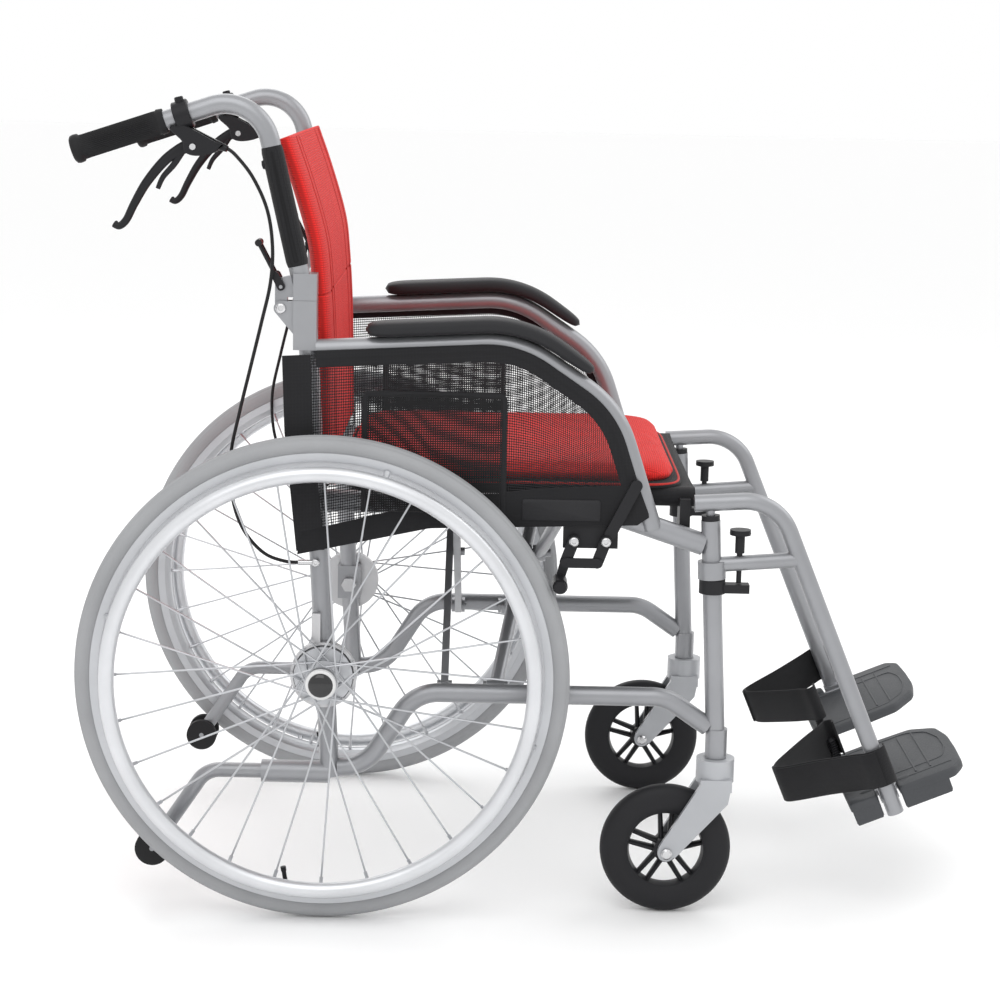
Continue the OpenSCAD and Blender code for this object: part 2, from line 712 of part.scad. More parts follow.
module heel_loop() color(trim_black) {
    loop_t = 3;
    loop_h = 46;
    pull = 112;
    outer = [[-8, 0], [-pull, 52], [-pull, 72], [-plate_rear - 4, plate_w - 24]];
    difference() {
        on_plate() translate([0, 0, 14]) linear_extrude(loop_h) union() {
            for (i = [0:2]) let (d = unit(outer[i + 1] - outer[i]), n = side_left(d) * loop_t / 2)
                polygon([outer[i] - d + n, outer[i + 1] + d + n, outer[i + 1] + d - n, outer[i] - d - n]);
        }
        rod(at(on_hanger(100), -half), at(on_hanger(hanger_l), -half), hanger_r + seam);
    }
}

module release_knob() color(trim_black) translate([knob_x, -half, 0]) {
    translate([0, 0, latch_z + 3]) cylinder(h = 50, r = 3);
    translate([0, 0, latch_z + 38]) cylinder(h = 22, r = 5.5);
    translate([0, 0, latch_z + 59]) cylinder(h = 6, r = 12);
}

// ---- Anti-tippers ----

module antitip_tube() color(frame_silver) {
    bent_side(tip_path, -half, tip_r, 30);
    pin_y(tip_axle, -half - 6, -half + 6, tip_r + 1);
    pin_y(tip_axle, -half - 18, -half + 18, 3);
}

module antitip_wheels() color(trim_black) for (y = [-half - 18, -half + 9.5]) difference() {
    pin_y(tip_axle, y, y + 8.5, tip_wheel_r);
    pin_y(tip_axle, y - 1, y + 10, 3 + run);
}

// ---- Cross brace ----

module flat_bar(x) difference() {
    union() {
        translate([x, -pivot_y, lower_z]) rotate([brace_angle, 0, 0])
            translate([0, 0, -bar_w / 2]) cube([bar_t, brace_l, bar_w]);
        pin_x([-pivot_y, lower_z], x, x + bar_t, bar_w / 2);
    }
    pin_x([-pivot_y, lower_z], x - 1, x + bar_t + 1, brace_pin_r + run);
}

// Round brace tube that leans forward on its way up, with a boss at the crossing
function cross_x(x) = x + (front_bar_high_x - front_bar_low_x) * pivot_y / brace_run;
module round_bar(x) {
    difference() {
        union() {
            rod([x, -pivot_y, lower_z],
                [x + front_bar_high_x - front_bar_low_x, seat_rail_y, seat_z], front_tube_r);
            pin_x([-pivot_y, lower_z], x - foot, x + foot, bar_w / 2);
            pin_x([0, cross_z], cross_x(x) - front_tube_r, cross_x(x) + front_tube_r, 10);
        }
        pin_x([-pivot_y, lower_z], x - 12, x + 12, brace_pin_r + run);
    }
}

module brace_half(x_flat, x_round) {
    difference() {
        union() {
            flat_bar(x_flat);
            round_bar(x_round);
        }
        pin_x([seat_rail_y, seat_z], seat_rail_x0, seat_rail_x1, seat_rail_r - 1);
    }
    pin_x([seat_rail_y, seat_z], seat_rail_x0, seat_rail_x1, seat_rail_r);
}

// The first half carries the two bolts at the crossing, and the second turns on them
module brace_a() color(frame_silver) {
    brace_half(rear_bar_x, front_bar_low_x);
    pin_x([0, cross_z], rear_bar_x + 1, rear_bar_x + 2 * bar_t + 6, cross_pin_r);
    pin_x([0, cross_z], cross_x(front_bar_low_x), cross_x(front_bar_low_x) + front_step + 14, cross_pin_r);
}

module brace_b() color(frame_silver) difference() {
    left() brace_half(rear_bar_x + bar_t + 1, front_bar_low_x + front_step);
    pin_x([0, cross_z], rear_bar_x, cross_x(front_bar_low_x) + 60, cross_pin_r + run);
}

// ---- Upholstery ----

module seat_sling() color(trim_black) {
    w = 2 * (seat_rail_y - seat_rail_r - 4);
    translate([seat_rail_x0, -w / 2, seat_z + 6]) cube([cushion_l - 10, w, 3.5]);
}

module seat_cushion() color(fabric_red)
    translate([seat_rail_x0 - 16, -half + 20, seat_z + seat_rail_r + seam])
        cube([cushion_l, frame_span - 40, cushion_t]);

module back_lower() color(fabric_red)
    translate([cane_x + 14, -half + 14, seat_z + 30])
        cube([back_t - 6, frame_span - 28, socket_z - seat_z - 31]);

module back_upper() color(fabric_red)
    side_plate([[cane_x + 14, socket_z], [cane_x + 14, socket_z + 31], on_cane(65) + [12.5, 0],
        on_cane(65) + [12.5 + back_t, 4], [cane_x + 14 + back_t, socket_z]], -half + 6, half - 6);

// ---- Cable: one tube swept along its route, ring by ring ----

function tangent(p, i) = unit(p[min(i + 1, len(p) - 1)] - p[max(i - 1, 0)]);
function curve_point(p, i, t) =
    let (a = p[max(i - 1, 0)], b = p[i], c = p[i + 1], d = p[min(i + 2, len(p) - 1)])
    (2 * b + (c - a) * t + (2 * a - 5 * b + 4 * c - d) * t * t + (3 * b - a - 3 * c + d) * t * t * t) / 2;
module swept_cord(p, r, sides) {
    last = len(p) - 1;
    smooth = concat([for (i = [0:last - 1]) each [for (k = [0:3]) curve_point(p, i, k / 4)]], [p[last]]);
    rings = len(smooth);
    points = [for (i = [0:rings - 1]) let (
            t = tangent(smooth, i),
            u = unit(cross(t, [0, 1, 0])),
            v = cross(t, u)
        ) each [for (k = [0:sides - 1]) smooth[i]
            + r * (cos(360 * k / sides) * u + sin(360 * k / sides) * v)]];
    walls = [for (i = [0:rings - 2], k = [0:sides - 1])
        [i * sides + k, i * sides + (k + 1) % sides, (i + 1) * sides + (k + 1) % sides, (i + 1) * sides + k]];
    polyhedron(points, concat([[for (k = [sides - 1:-1:0]) k]], walls,
        [[for (k = [0:sides - 1]) (rings - 1) * sides + k]]));
}

module brake_cable() color(trim_black)
    swept_cord([for (q = cable_route) [q[0], q[1] + 235 - half, q[2]]], cable_r, 8);

on_floor() rear_post();  // rear_post_right
on_floor() front_post();  // front_post_right
on_floor() frame_rails(rear_bar_x, front_bar_low_x);  // frame_rails_right
on_floor() armrest_pad();  // armrest_pad_right
on_floor() side_panel();  // side_panel_right
on_floor() frame_fittings();  // frame_fittings_right
on_floor() hub_brake();  // hub_brake_right
on_floor() brake_cable();  // brake_cable_right
on_floor() tyre();  // tyre_right
on_floor() drive_wheel();  // drive_wheel_right
on_floor() handrim();  // handrim_right
on_floor() caster_fork();  // caster_fork_right
on_floor() caster_wheel();  // caster_wheel_right
on_floor() push_handle();  // push_handle_right
on_floor() grip();  // grip_right
on_floor() brake_bracket();  // brake_bracket_right
on_floor() brake_lever();  // brake_lever_right
on_floor() fold_release();  // fold_release_right
on_floor() parking_handle();  // parking_handle_right
on_floor() parking_link();  // parking_link_right
on_floor() parking_arm();  // parking_arm_right
on_floor() hanger();  // hanger_right
on_floor() footplate();  // footplate_right
on_floor() heel_loop();  // heel_loop_right
on_floor() release_knob();  // release_knob_right
on_floor() antitip_tube();  // antitip_tube_right
on_floor() antitip_wheels();  // antitip_wheels_right
on_floor() left() rear_post();  // rear_post_left
on_floor() left() front_post();  // front_post_left
on_floor() left() frame_rails(rear_bar_x + bar_t + 1, front_bar_low_x + front_step);  // frame_rails_left
on_floor() left() armrest_pad();  // armrest_pad_left
on_floor() left() side_panel();  // side_panel_left
on_floor() left() frame_fittings();  // frame_fittings_left
on_floor() left() hub_brake();  // hub_brake_left
on_floor() left() brake_cable();  // brake_cable_left
on_floor() left() tyre();  // tyre_left
on_floor() left() drive_wheel();  // drive_wheel_left
on_floor() left() handrim();  // handrim_left
on_floor() left() caster_fork();  // caster_fork_left
on_floor() left() caster_wheel();  // caster_wheel_left
on_floor() left() push_handle();  // push_handle_left
on_floor() left() grip();  // grip_left
on_floor() left() brake_bracket();  // brake_bracket_left
on_floor() left() brake_lever();  // brake_lever_left
on_floor() left() fold_release();  // fold_release_left
on_floor() left() parking_handle();  // parking_handle_left
on_floor() left() parking_link();  // parking_link_left
on_floor() left() parking_arm();  // parking_arm_left
on_floor() left() hanger();  // hanger_left
on_floor() left() footplate();  // footplate_left
on_floor() left() heel_loop();  // heel_loop_left
on_floor() left() release_knob();  // release_knob_left
on_floor() left() antitip_tube();  // antitip_tube_left
on_floor() left() antitip_wheels();  // antitip_wheels_left
on_floor() brace_a();
on_floor() brace_b();
on_floor() seat_cushion();
on_floor() seat_sling();
on_floor() back_upper();
on_floor() back_lower();
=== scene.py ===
import json
import math

import bmesh
import bpy
import numpy as np
from mathutils import Matrix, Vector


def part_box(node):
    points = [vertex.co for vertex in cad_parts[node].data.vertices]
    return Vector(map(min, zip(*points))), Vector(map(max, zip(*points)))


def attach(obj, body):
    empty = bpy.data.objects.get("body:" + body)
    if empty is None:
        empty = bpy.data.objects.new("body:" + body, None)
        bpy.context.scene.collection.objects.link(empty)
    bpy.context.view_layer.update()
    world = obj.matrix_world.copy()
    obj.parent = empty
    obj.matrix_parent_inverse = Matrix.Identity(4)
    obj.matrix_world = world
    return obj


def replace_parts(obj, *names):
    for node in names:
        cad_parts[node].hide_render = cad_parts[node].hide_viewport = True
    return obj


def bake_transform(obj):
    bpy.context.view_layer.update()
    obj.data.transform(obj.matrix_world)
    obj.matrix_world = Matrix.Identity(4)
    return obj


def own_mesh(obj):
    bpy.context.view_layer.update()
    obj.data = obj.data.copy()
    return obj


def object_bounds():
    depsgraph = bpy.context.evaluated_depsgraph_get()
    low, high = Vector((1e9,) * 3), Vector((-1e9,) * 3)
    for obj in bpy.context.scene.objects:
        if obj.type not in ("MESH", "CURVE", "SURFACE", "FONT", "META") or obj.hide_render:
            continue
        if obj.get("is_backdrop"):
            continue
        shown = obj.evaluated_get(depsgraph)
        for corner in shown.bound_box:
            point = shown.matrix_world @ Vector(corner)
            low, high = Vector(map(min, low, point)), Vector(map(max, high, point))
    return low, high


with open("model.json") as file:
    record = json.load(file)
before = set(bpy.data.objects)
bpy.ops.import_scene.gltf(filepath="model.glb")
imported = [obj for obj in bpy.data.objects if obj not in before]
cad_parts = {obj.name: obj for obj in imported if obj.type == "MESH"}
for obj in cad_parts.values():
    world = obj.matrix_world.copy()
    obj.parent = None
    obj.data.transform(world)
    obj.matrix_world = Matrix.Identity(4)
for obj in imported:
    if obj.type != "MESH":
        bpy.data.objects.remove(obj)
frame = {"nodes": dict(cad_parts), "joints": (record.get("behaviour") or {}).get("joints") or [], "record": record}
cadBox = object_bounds()
nodes = frame["nodes"]
joints = {j["name"]: j for j in frame["joints"]}
sides = {"right": -1, "left": 1}

wheelBox = np.array(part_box("drive_wheel_right"), float)
axle = wheelBox.mean(0)                                   # middle of the right drive wheel
halfSpan = abs(joints["back_fold_left"]["pos_m"][1]) * 1000
# middle plane of the drive wheels
wheelY = abs(np.mean(np.array(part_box("tyre_right"))[:, 1])) * 1000
# radius of the drive wheel, so the height of its axle
wheelR = 280


def spot(x, y, z):
    # millimetres from the rear axle, as metres in the frame
    x, y, z = np.broadcast_arrays(np.asarray(x, float), np.asarray(y, float), np.asarray(z, float))
    return np.stack([axle[0] + x / 1000, y / 1000, z / 1000], -1)


# shapes: every function gives a grid of points

def unitRows(v):
    return v / np.maximum(np.linalg.norm(v, axis=-1, keepdims=True), 1e-12)


def revolve(profile, centre, axis=(0, 1, 0), count=48):
    # point(a, k) = centre + h_k * axis + r_k * (u cos a + v sin a), for a profile of (h, r) in millimetres
    p = np.array(profile, float) / 1000
    w = unitRows(np.array(axis, float))
    u = unitRows(np.cross(w, [0.3, 0.1, 1.0]))
    v = np.cross(w, u)
    a = np.linspace(0, 2 * np.pi, count, endpoint=False)[:, None, None]
    ring = np.cos(a) * u + np.sin(a) * v
    grid = np.array(centre) + p[None, :, :1] * w + p[None, :, 1:] * ring
    return dict(grid=grid, aroundU=True)


def smoothPath(points, perSpan=6):
    # Catmull-Rom: half of (2b + (c-a)t + (2a-5b+4c-d)t^2 + (3b-a-3c+d)t^3) between b and c
    p = np.array(points, float)
    a = np.vstack([p[:1], p[:-2]])
    b, c = p[:-1], p[1:]
    d = np.vstack([p[2:], p[-1:]])
    t = np.linspace(0, 1, perSpan, endpoint=False)[None, :, None]
    a, b, c, d = (q[:, None, :] for q in (a, b, c, d))
    run = (2 * b + (c - a) * t + (2 * a - 5 * b + 4 * c - d) * t ** 2 + (3 * b - a - 3 * c + d) * t ** 3) / 2
    return np.vstack([run.reshape(-1, p.shape[1]), p[-1:]])


def tube(path, radius, flat=None, count=14, turn=(0, 1, 0)):
    # ring(s) = path(s) + r(s) u cos a + f(s) v sin a, u across the path and the turn vector, v = path x u
    p = np.array(path, float)
    t = unitRows(np.gradient(p, axis=0))
    u = unitRows(np.cross(t, np.broadcast_to(turn, t.shape)))
    v = np.cross(t, u)
    r = np.broadcast_to(np.asarray(radius, float), len(p))[:, None, None] / 1000
    f = r if flat is None else np.broadcast_to(np.asarray(flat, float), len(p))[:, None, None] / 1000
    a = np.linspace(0, 2 * np.pi, count, endpoint=False)[None, :, None]
    return dict(grid=p[:, None] + r * np.cos(a) * u[:, None] + f * np.sin(a) * v[:, None], aroundV=True,
                caps=True)


def band(path, across, width, thick):
    # strip(s, k) = path(s) + x_k * across + y_k * normal, with x and y going round a thin rectangle
    p = np.array(path, float)
    w = unitRows(np.broadcast_to(np.array(across, float), p.shape))
    n = unitRows(np.cross(unitRows(np.gradient(p, axis=0)), w))
    x = np.array([-1, -0.97, 0.97, 1, 1, 0.97, -0.97, -1]) * width / 2000
    y = np.array([0.5, 1, 1, 0.5, -0.5, -1, -1, -0.5]) * thick / 2000
    return dict(grid=p[:, None] + x[None, :, None] * w[:, None] + y[None, :, None] * n[:, None], aroundV=True,
                caps=True)


def plate(outline, y0, y1, edge=0.8):
    # a side-view outline [x, z] carried from y0 to y1, drawn in by the edge at both faces
    o = np.array(outline, float)
    t = unitRows(np.roll(o, -1, 0) - np.roll(o, 1, 0))
    n = np.stack([t[:, 1], -t[:, 0]], -1)
    area = np.sum(o[:, 0] * np.roll(o[:, 1], -1) - np.roll(o[:, 0], -1) * o[:, 1])
    n *= 1 if area > 0 else -1
    rings = [(o - n * edge, y0), (o, y0 + edge * np.sign(y1 - y0)), (o, y1 - edge * np.sign(y1 - y0)),
             (o - n * edge, y1)]
    return dict(grid=np.stack([spot(r[:, 0], y, r[:, 1]) for r, y in rings]), aroundV=True, caps=True)


def bentPath(corners, radius, step=9):
    # straight lengths joined by arcs: centre = corner - radius tan(turn / 2) a + radius to the inner side
    c = np.array(corners, float)
    out = [c[:1]]
    for k in range(1, len(c) - 1):
        a = unitRows(c[k] - c[k - 1])
        b = unitRows(c[k + 1] - c[k])
        turn = math.acos(float(np.clip(a @ b, -1, 1)))
        way = np.sign(a[0] * b[1] - a[1] * b[0])
        left = np.array([-a[1], a[0]])
        centre = c[k] - a * radius * math.tan(turn / 2) + way * radius * left
        t = np.linspace(0, turn, step)[:, None]
        out.append(centre - way * radius * (left * np.cos(t) - way * a * np.sin(t)))
    out.append(c[-1:])
    return np.vstack(out)


def resample(path, count):
    s = np.concatenate([[0], np.cumsum(np.linalg.norm(np.diff(path, axis=0), axis=1))])
    at = np.linspace(0, s[-1], count)
    return np.stack([np.interp(at, s, path[:, k]) for k in range(path.shape[1])], -1)


def pushed(path, d):                                      # the path moved sideways by d to its left
    t = unitRows(np.gradient(path, axis=0))
    return path + d * np.stack([-t[:, 1], t[:, 0]], -1)


def build(name, patches, material, body, sharp=40):
    points, faces, uvs, start = [], [], [], 0
    for patch in patches:
        g = patch["grid"]
        m, n = g.shape[:2]
        i = np.arange(m if patch.get("aroundU") else m - 1)
        j = np.arange(n if patch.get("aroundV") else n - 1)
        row, col = (q.ravel() for q in np.meshgrid(i, j, indexing="ij"))
        corners = [(row, col), (row + 1, col), (row + 1, col + 1), (row, col + 1)]
        faces += (start + np.stack([(a % m) * n + b % n for a, b in corners], -1)).tolist()
        lengthU = np.concatenate([[0], np.cumsum(np.linalg.norm(np.roll(g, -1, 0) - g, axis=-1).mean(1))])
        lengthV = np.concatenate([[0], np.cumsum(np.linalg.norm(np.roll(g, -1, 1) - g, axis=-1).mean(0))])
        uvs.append(np.stack([np.stack([lengthU[a], lengthV[b]], -1) for a, b in corners], 1).reshape(-1, 2))
        if patch.get("caps"):
            faces += [list(range(start, start + n))[::-1], list(range(start + (m - 1) * n, start + m * n))]
            uvs.append(np.zeros((2 * n, 2)))
        points.append(g.reshape(-1, 3))
        start += m * n
    mesh = bpy.data.meshes.new(name)
    mesh.from_pydata(np.concatenate(points).tolist(), [], faces)
    mesh.uv_layers.new(name="UVMap").data.foreach_set("uv", np.concatenate(uvs).ravel())
    bm = bmesh.new()
    bm.from_mesh(mesh)
    bmesh.ops.remove_doubles(bm, verts=bm.verts, dist=2e-6)
    bmesh.ops.recalc_face_normals(bm, faces=bm.faces)
    bm.to_mesh(mesh)
    bm.free()
    mesh.polygons.foreach_set("use_smooth", np.ones(len(mesh.polygons), bool))
    mesh.set_sharp_from_angle(angle=math.radians(sharp))
    mesh.materials.append(material)
    piece = bpy.data.objects.new(name, mesh)
    bpy.context.scene.collection.objects.link(piece)
    if body:
        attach(piece, body)
    return piece


# materials

def shader(name, colour, roughness, metallic=0.0, **sockets):
    m = bpy.data.materials.new(name)
    m.use_nodes = True
    tree = m.node_tree
    p = tree.nodes["Principled BSDF"]
    p.inputs["Base Color"].default_value = (*colour, 1)
    p.inputs["Roughness"].default_value = roughness
    p.inputs["Metallic"].default_value = metallic
    p.inputs["Specular IOR Level"].default_value = 0.2 if max(colour) < 0.05 else 0.5
    for key, value in sockets.items():
        p.inputs[key.replace("_", " ")].default_value = value
    return m, tree, p


def add(tree, kind, **values):
    node = tree.nodes.new(kind)
    for key, value in values.items():
        if key in node.inputs:
            node.inputs[key].default_value = value
        else:
            setattr(node, key, value)
    return node


def coordinates(tree, source, scale):
    c = tree.nodes.new("ShaderNodeTexCoord")
    k = tree.nodes.new("ShaderNodeMapping")
    k.inputs["Scale"].default_value = scale
    tree.links.new(c.outputs[source], k.inputs["Vector"])
    return k.outputs["Vector"]


def vary(tree, p, colour, vector, scale, low, high):
    # colour times a soft noise between low and high
    n = add(tree, "ShaderNodeTexNoise", Scale=scale, Detail=4.0)
    ramp = tree.nodes.new("ShaderNodeValToRGB")
    ramp.color_ramp.elements[0].color = (*[c * low for c in colour], 1)
    ramp.color_ramp.elements[1].color = (*[min(1, c * high) for c in colour], 1)
    ramp.color_ramp.elements[0].position, ramp.color_ramp.elements[1].position = 0.3, 0.7
    tree.links.new(vector, n.inputs["Vector"])
    tree.links.new(n.outputs["Fac"], ramp.inputs["Fac"])
    tree.links.new(ramp.outputs["Color"], p.inputs["Base Color"])


def bump(tree, p, height, strength, distance=0.001, before=None):
    b = add(tree, "ShaderNodeBump", Strength=strength, Distance=distance)
    tree.links.new(height, b.inputs["Height"])
    if before:
        tree.links.new(before, b.inputs["Normal"])
    tree.links.new(b.outputs["Normal"], p.inputs["Normal"])
    return b.outputs["Normal"]


def coated(name, colour, roughness, metallic, grain, depth, **sockets):
    # paint or plastic with a fine orange peel
    m, tree, p = shader(name, colour, roughness, metallic, **sockets)
    v = coordinates(tree, "Object", (1, 1, 1))
    vary(tree, p, colour, v, 14, 0.94, 1.05)
    n = add(tree, "ShaderNodeTexNoise", Scale=grain, Detail=3.0)
    rough = add(tree, "ShaderNodeMapRange")
    rough.inputs["To Min"].default_value = roughness * 0.85
    rough.inputs["To Max"].default_value = min(1, roughness * 1.2)
    tree.links.new(v, n.inputs["Vector"])
    tree.links.new(n.outputs["Fac"], rough.inputs["Value"])
    tree.links.new(rough.outputs["Result"], p.inputs["Roughness"])
    bump(tree, p, n.outputs["Fac"], depth, 0.0006)
    return m


def woven(name, colour, dark, period, depth, source="Object", roughness=0.85, sheen=0.1,
          axes=(1, 1, 1)):
    # square cells of thread, laid out along the axes that are 1
    m, tree, p = shader(name, colour, roughness, 0, Sheen_Weight=sheen, Sheen_Roughness=0.5)
    v = coordinates(tree, source, tuple(1000 / period * k for k in axes))
    cells = add(tree, "ShaderNodeTexVoronoi", distance="CHEBYCHEV", Randomness=0.0)
    cells.inputs["Scale"].default_value = 1
    broad = add(tree, "ShaderNodeTexNoise", Scale=0.06, Detail=5.0)
    fuzz = add(tree, "ShaderNodeTexNoise", Scale=3.0, Detail=2.0)
    for node in (cells, broad, fuzz):
        tree.links.new(v, node.inputs["Vector"])
    ramp = tree.nodes.new("ShaderNodeValToRGB")
    ramp.color_ramp.elements[0].color = (*colour, 1)
    ramp.color_ramp.elements[0].position = 0.3
    ramp.color_ramp.elements[1].color = (*[c * dark for c in colour], 1)
    ramp.color_ramp.elements[1].position = 0.52
    tree.links.new(cells.outputs["Distance"], ramp.inputs["Fac"])
    shade = add(tree, "ShaderNodeMapRange")
    shade.inputs["To Min"].default_value = 0.86
    shade.inputs["To Max"].default_value = 1.1
    tree.links.new(broad.outputs["Fac"], shade.inputs["Value"])
    mix = add(tree, "ShaderNodeVectorMath", operation="SCALE")
    tree.links.new(ramp.outputs["Color"], mix.inputs[0])
    tree.links.new(shade.outputs["Result"], mix.inputs["Scale"])
    tree.links.new(mix.outputs["Vector"], p.inputs["Base Color"])
    up = add(tree, "ShaderNodeMath", operation="MULTIPLY_ADD")
    up.inputs[1].default_value = -1
    up.inputs[2].default_value = 1
    tree.links.new(cells.outputs["Distance"], up.inputs[0])
    first = bump(tree, p, up.outputs["Value"], depth, 0.0012)
    bump(tree, p, fuzz.outputs["Fac"], depth * 0.35, 0.0005, first)
    return m


def netting(name, colour, period, hole):
    # knitted net: round holes in rows, on the piece's own UV
    m, tree, p = shader(name, colour, 0.8, 0, Sheen_Weight=0.15)
    v = coordinates(tree, "UV", (1000 / period,) * 3)
    cells = add(tree, "ShaderNodeTexVoronoi", Randomness=0.0)
    cells.inputs["Scale"].default_value = 1
    tree.links.new(v, cells.inputs["Vector"])
    thread = add(tree, "ShaderNodeMath", operation="GREATER_THAN")
    thread.inputs[1].default_value = hole
    tree.links.new(cells.outputs["Distance"], thread.inputs[0])
    tree.links.new(thread.outputs["Value"], p.inputs["Alpha"])
    bump(tree, p, cells.outputs["Distance"], 0.4, 0.0006)
    return m


colours = dict(
    frame=(0.30, 0.305, 0.32), black=(0.018, 0.018, 0.02), red=(0.74, 0.012, 0.008), tyre=(0.31, 0.315, 0.325),
    rim=(0.50, 0.51, 0.53), fork=(0.40, 0.41, 0.43), charcoal=(0.042, 0.045, 0.05),
)
finishes = {
    "frame_paint": coated("silverPaint", colours["frame"], 0.34, 0.55, 900, 0.12, Coat_Weight=0.25,
                          Coat_Roughness=0.25),
    "pad_vinyl": coated("padVinyl", (0.022, 0.022, 0.024), 0.5, 0, 700, 0.5),
    "panel_fabric": woven("panelCloth", (0.02, 0.02, 0.022), 0.4, 1.6, 0.4),
    "black_fittings": coated("blackFittings", colours["black"], 0.4, 0, 1200, 0.2),
    "hub_steel": coated("turnedSteel", (0.52, 0.52, 0.53), 0.3, 0.95, 1500, 0.1),
    "cable_black": coated("cableSheath", (0.012, 0.012, 0.013), 0.35, 0, 1500, 0.1),
    "grey_tyre": coated("greyTyre", colours["tyre"], 0.72, 0, 600, 0.3),
    "wheel_metal": coated("rimAlloy", colours["rim"], 0.3, 0.7, 1500, 0.08),
    "handrim_steel": coated("handrimSteel", (0.66, 0.67, 0.69), 0.36, 0.75, 1600, 0.05),
    "fork_paint": coated("forkPaint", colours["fork"], 0.38, 0.2, 900, 0.12, Coat_Weight=0.3),
    "caster_rubber": coated("casterRubber", (0.016, 0.016, 0.018), 0.5, 0, 800, 0.2),
    "grip_rubber": coated("gripRubber", (0.014, 0.014, 0.015), 0.6, 0, 900, 0.3),
    "black_plastic": coated("blackPlastic", (0.015, 0.015, 0.017), 0.36, 0, 1300, 0.15),
    "black_steel": coated("blackSteel", (0.02, 0.02, 0.022), 0.32, 0.2, 1200, 0.12),
    "plate_plastic": coated("plateNylon", colours["charcoal"], 0.55, 0, 500, 0.6),
    "black_webbing": woven("blackWebbing", (0.02, 0.02, 0.022), 0.35, 1.4, 0.6, "UV"),
    "small_wheel_rubber": coated("smallWheelRubber", (0.016, 0.016, 0.017), 0.55, 0, 900, 0.2),
    "red_fabric": woven("redWeave", colours["red"], 0.42, 2.6, 0.9, sheen=0.04),
}
finishes["net"] = netting("blackNet", (0.02, 0.02, 0.022), 2.6, 0.4)
finishes["denseNet"] = netting("pocketNet", (0.012, 0.012, 0.013), 2.6, 0.26)
finishes["seatWeave"] = woven("seatWeave", colours["red"], 0.42, 2.6, 0.9, sheen=0.04, axes=(1, 1, 0))
finishes["backWeave"] = woven("backWeave", colours["red"], 0.42, 2.6, 0.9, sheen=0.04, axes=(0, 1, 1))
finishes["thread"] = woven("redThread", (0.6, 0.02, 0.015), 0.5, 1.2, 0.5)
finishes["silver"] = coated("boltSteel", (0.62, 0.62, 0.63), 0.25, 0.95, 1500, 0.05)
finishes["glossBlack"] = coated("glossBlack", (0.006, 0.006, 0.007), 0.08, 0, 1500, 0.02, Coat_Weight=1.0)
finishes["whiteCap"] = coated("whiteCap", (0.7, 0.7, 0.7), 0.35, 0, 1200, 0.1)

slotOf = {s["node"]: s["material_slot"] for s in frame["record"]["subparts"]}
for name, node in nodes.items():
    for s in node.material_slots:
        s.material = finishes[slotOf[name]]
print("materials done")

# camera, floor and light

camera = dict(lens=85.9, at=(183, -2892, 974), down=10.48, turn=0.30, roll=1.20)
cam = bpy.data.objects.new("camera", bpy.data.cameras.new("camera"))
cam.data.lens, cam.data.sensor_width, cam.data.clip_end = camera["lens"], 36, 60
down, turn, roll = (math.radians(camera[k]) for k in ("down", "turn", "roll"))
look = np.array([math.sin(turn) * math.cos(down), math.cos(turn) * math.cos(down), -math.sin(down)])
flatRight = np.array([math.cos(turn), -math.sin(turn), 0])
flatUp = np.cross(flatRight, look)
right = flatRight * math.cos(roll) + flatUp * math.sin(roll)
above = -flatRight * math.sin(roll) + flatUp * math.cos(roll)
turned = np.eye(4)
turned[:3, 0], turned[:3, 1], turned[:3, 2], turned[:3, 3] = right, above, -look, spot(*camera["at"])
cam.matrix_world = Matrix(turned.tolist())
bpy.context.scene.collection.objects.link(cam)
bpy.context.scene.camera = cam

floorMesh = bpy.data.meshes.new("floor")
floorMesh.from_pydata([(-30, -30, -0.0005), (30, -30, -0.0005), (30, 30, -0.0005), (-30, 30, -0.0005)], [],
                      [(0, 1, 2, 3)])
floor = bpy.data.objects.new("floor", floorMesh)
floorMesh.materials.append(shader("paleFloor", (0.985, 0.985, 0.985), 0.6)[0])
bpy.context.scene.collection.objects.link(floor)
floor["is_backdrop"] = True

studio = [dict(at=(-0.6, -2.6, 3.4), size=3.2, power=42), dict(at=(2.4, 0.6, 2.6), size=2.4, power=24),
          dict(at=(-1.0, 2.6, 2.6), size=2.6, power=24)]
for k, lamp in enumerate(studio):
    light = bpy.data.objects.new(f"softBox{k}", bpy.data.lights.new(f"softBox{k}", "AREA"))
    light.data.size, light.data.energy = lamp["size"], lamp["power"]
    light.location = lamp["at"]
    aim = np.array([0, 0, 0.4]) - np.array(lamp["at"])
    z = unitRows(-aim)
    x = unitRows(np.cross([0.01, 0, 1], z))
    light.rotation_euler = Matrix(np.stack([x, np.cross(z, x), z], -1).tolist()).to_euler()
    bpy.context.scene.collection.objects.link(light)
bpy.context.scene.view_settings.view_transform = "Standard"
world = bpy.data.worlds.new("studio")
bpy.context.scene.world = world
world.use_nodes = True
world.node_tree.nodes["Background"].inputs["Color"].default_value = (1, 1, 1, 1)
world.node_tree.nodes["Background"].inputs["Strength"].default_value = 1.0
print("stage done")

# drive wheels

tyreSpec = dict(radius=wheelR, width=25, rim=260, ribs=7, ribDepth=0.7)
rimSpec = dict(inner=245, spokes=28, spokeRadius=1.15, flange=17.5, flangeY=13)


def hub(s):                                               # the middle of a drive wheel
    return spot(0, s * wheelY, wheelR)


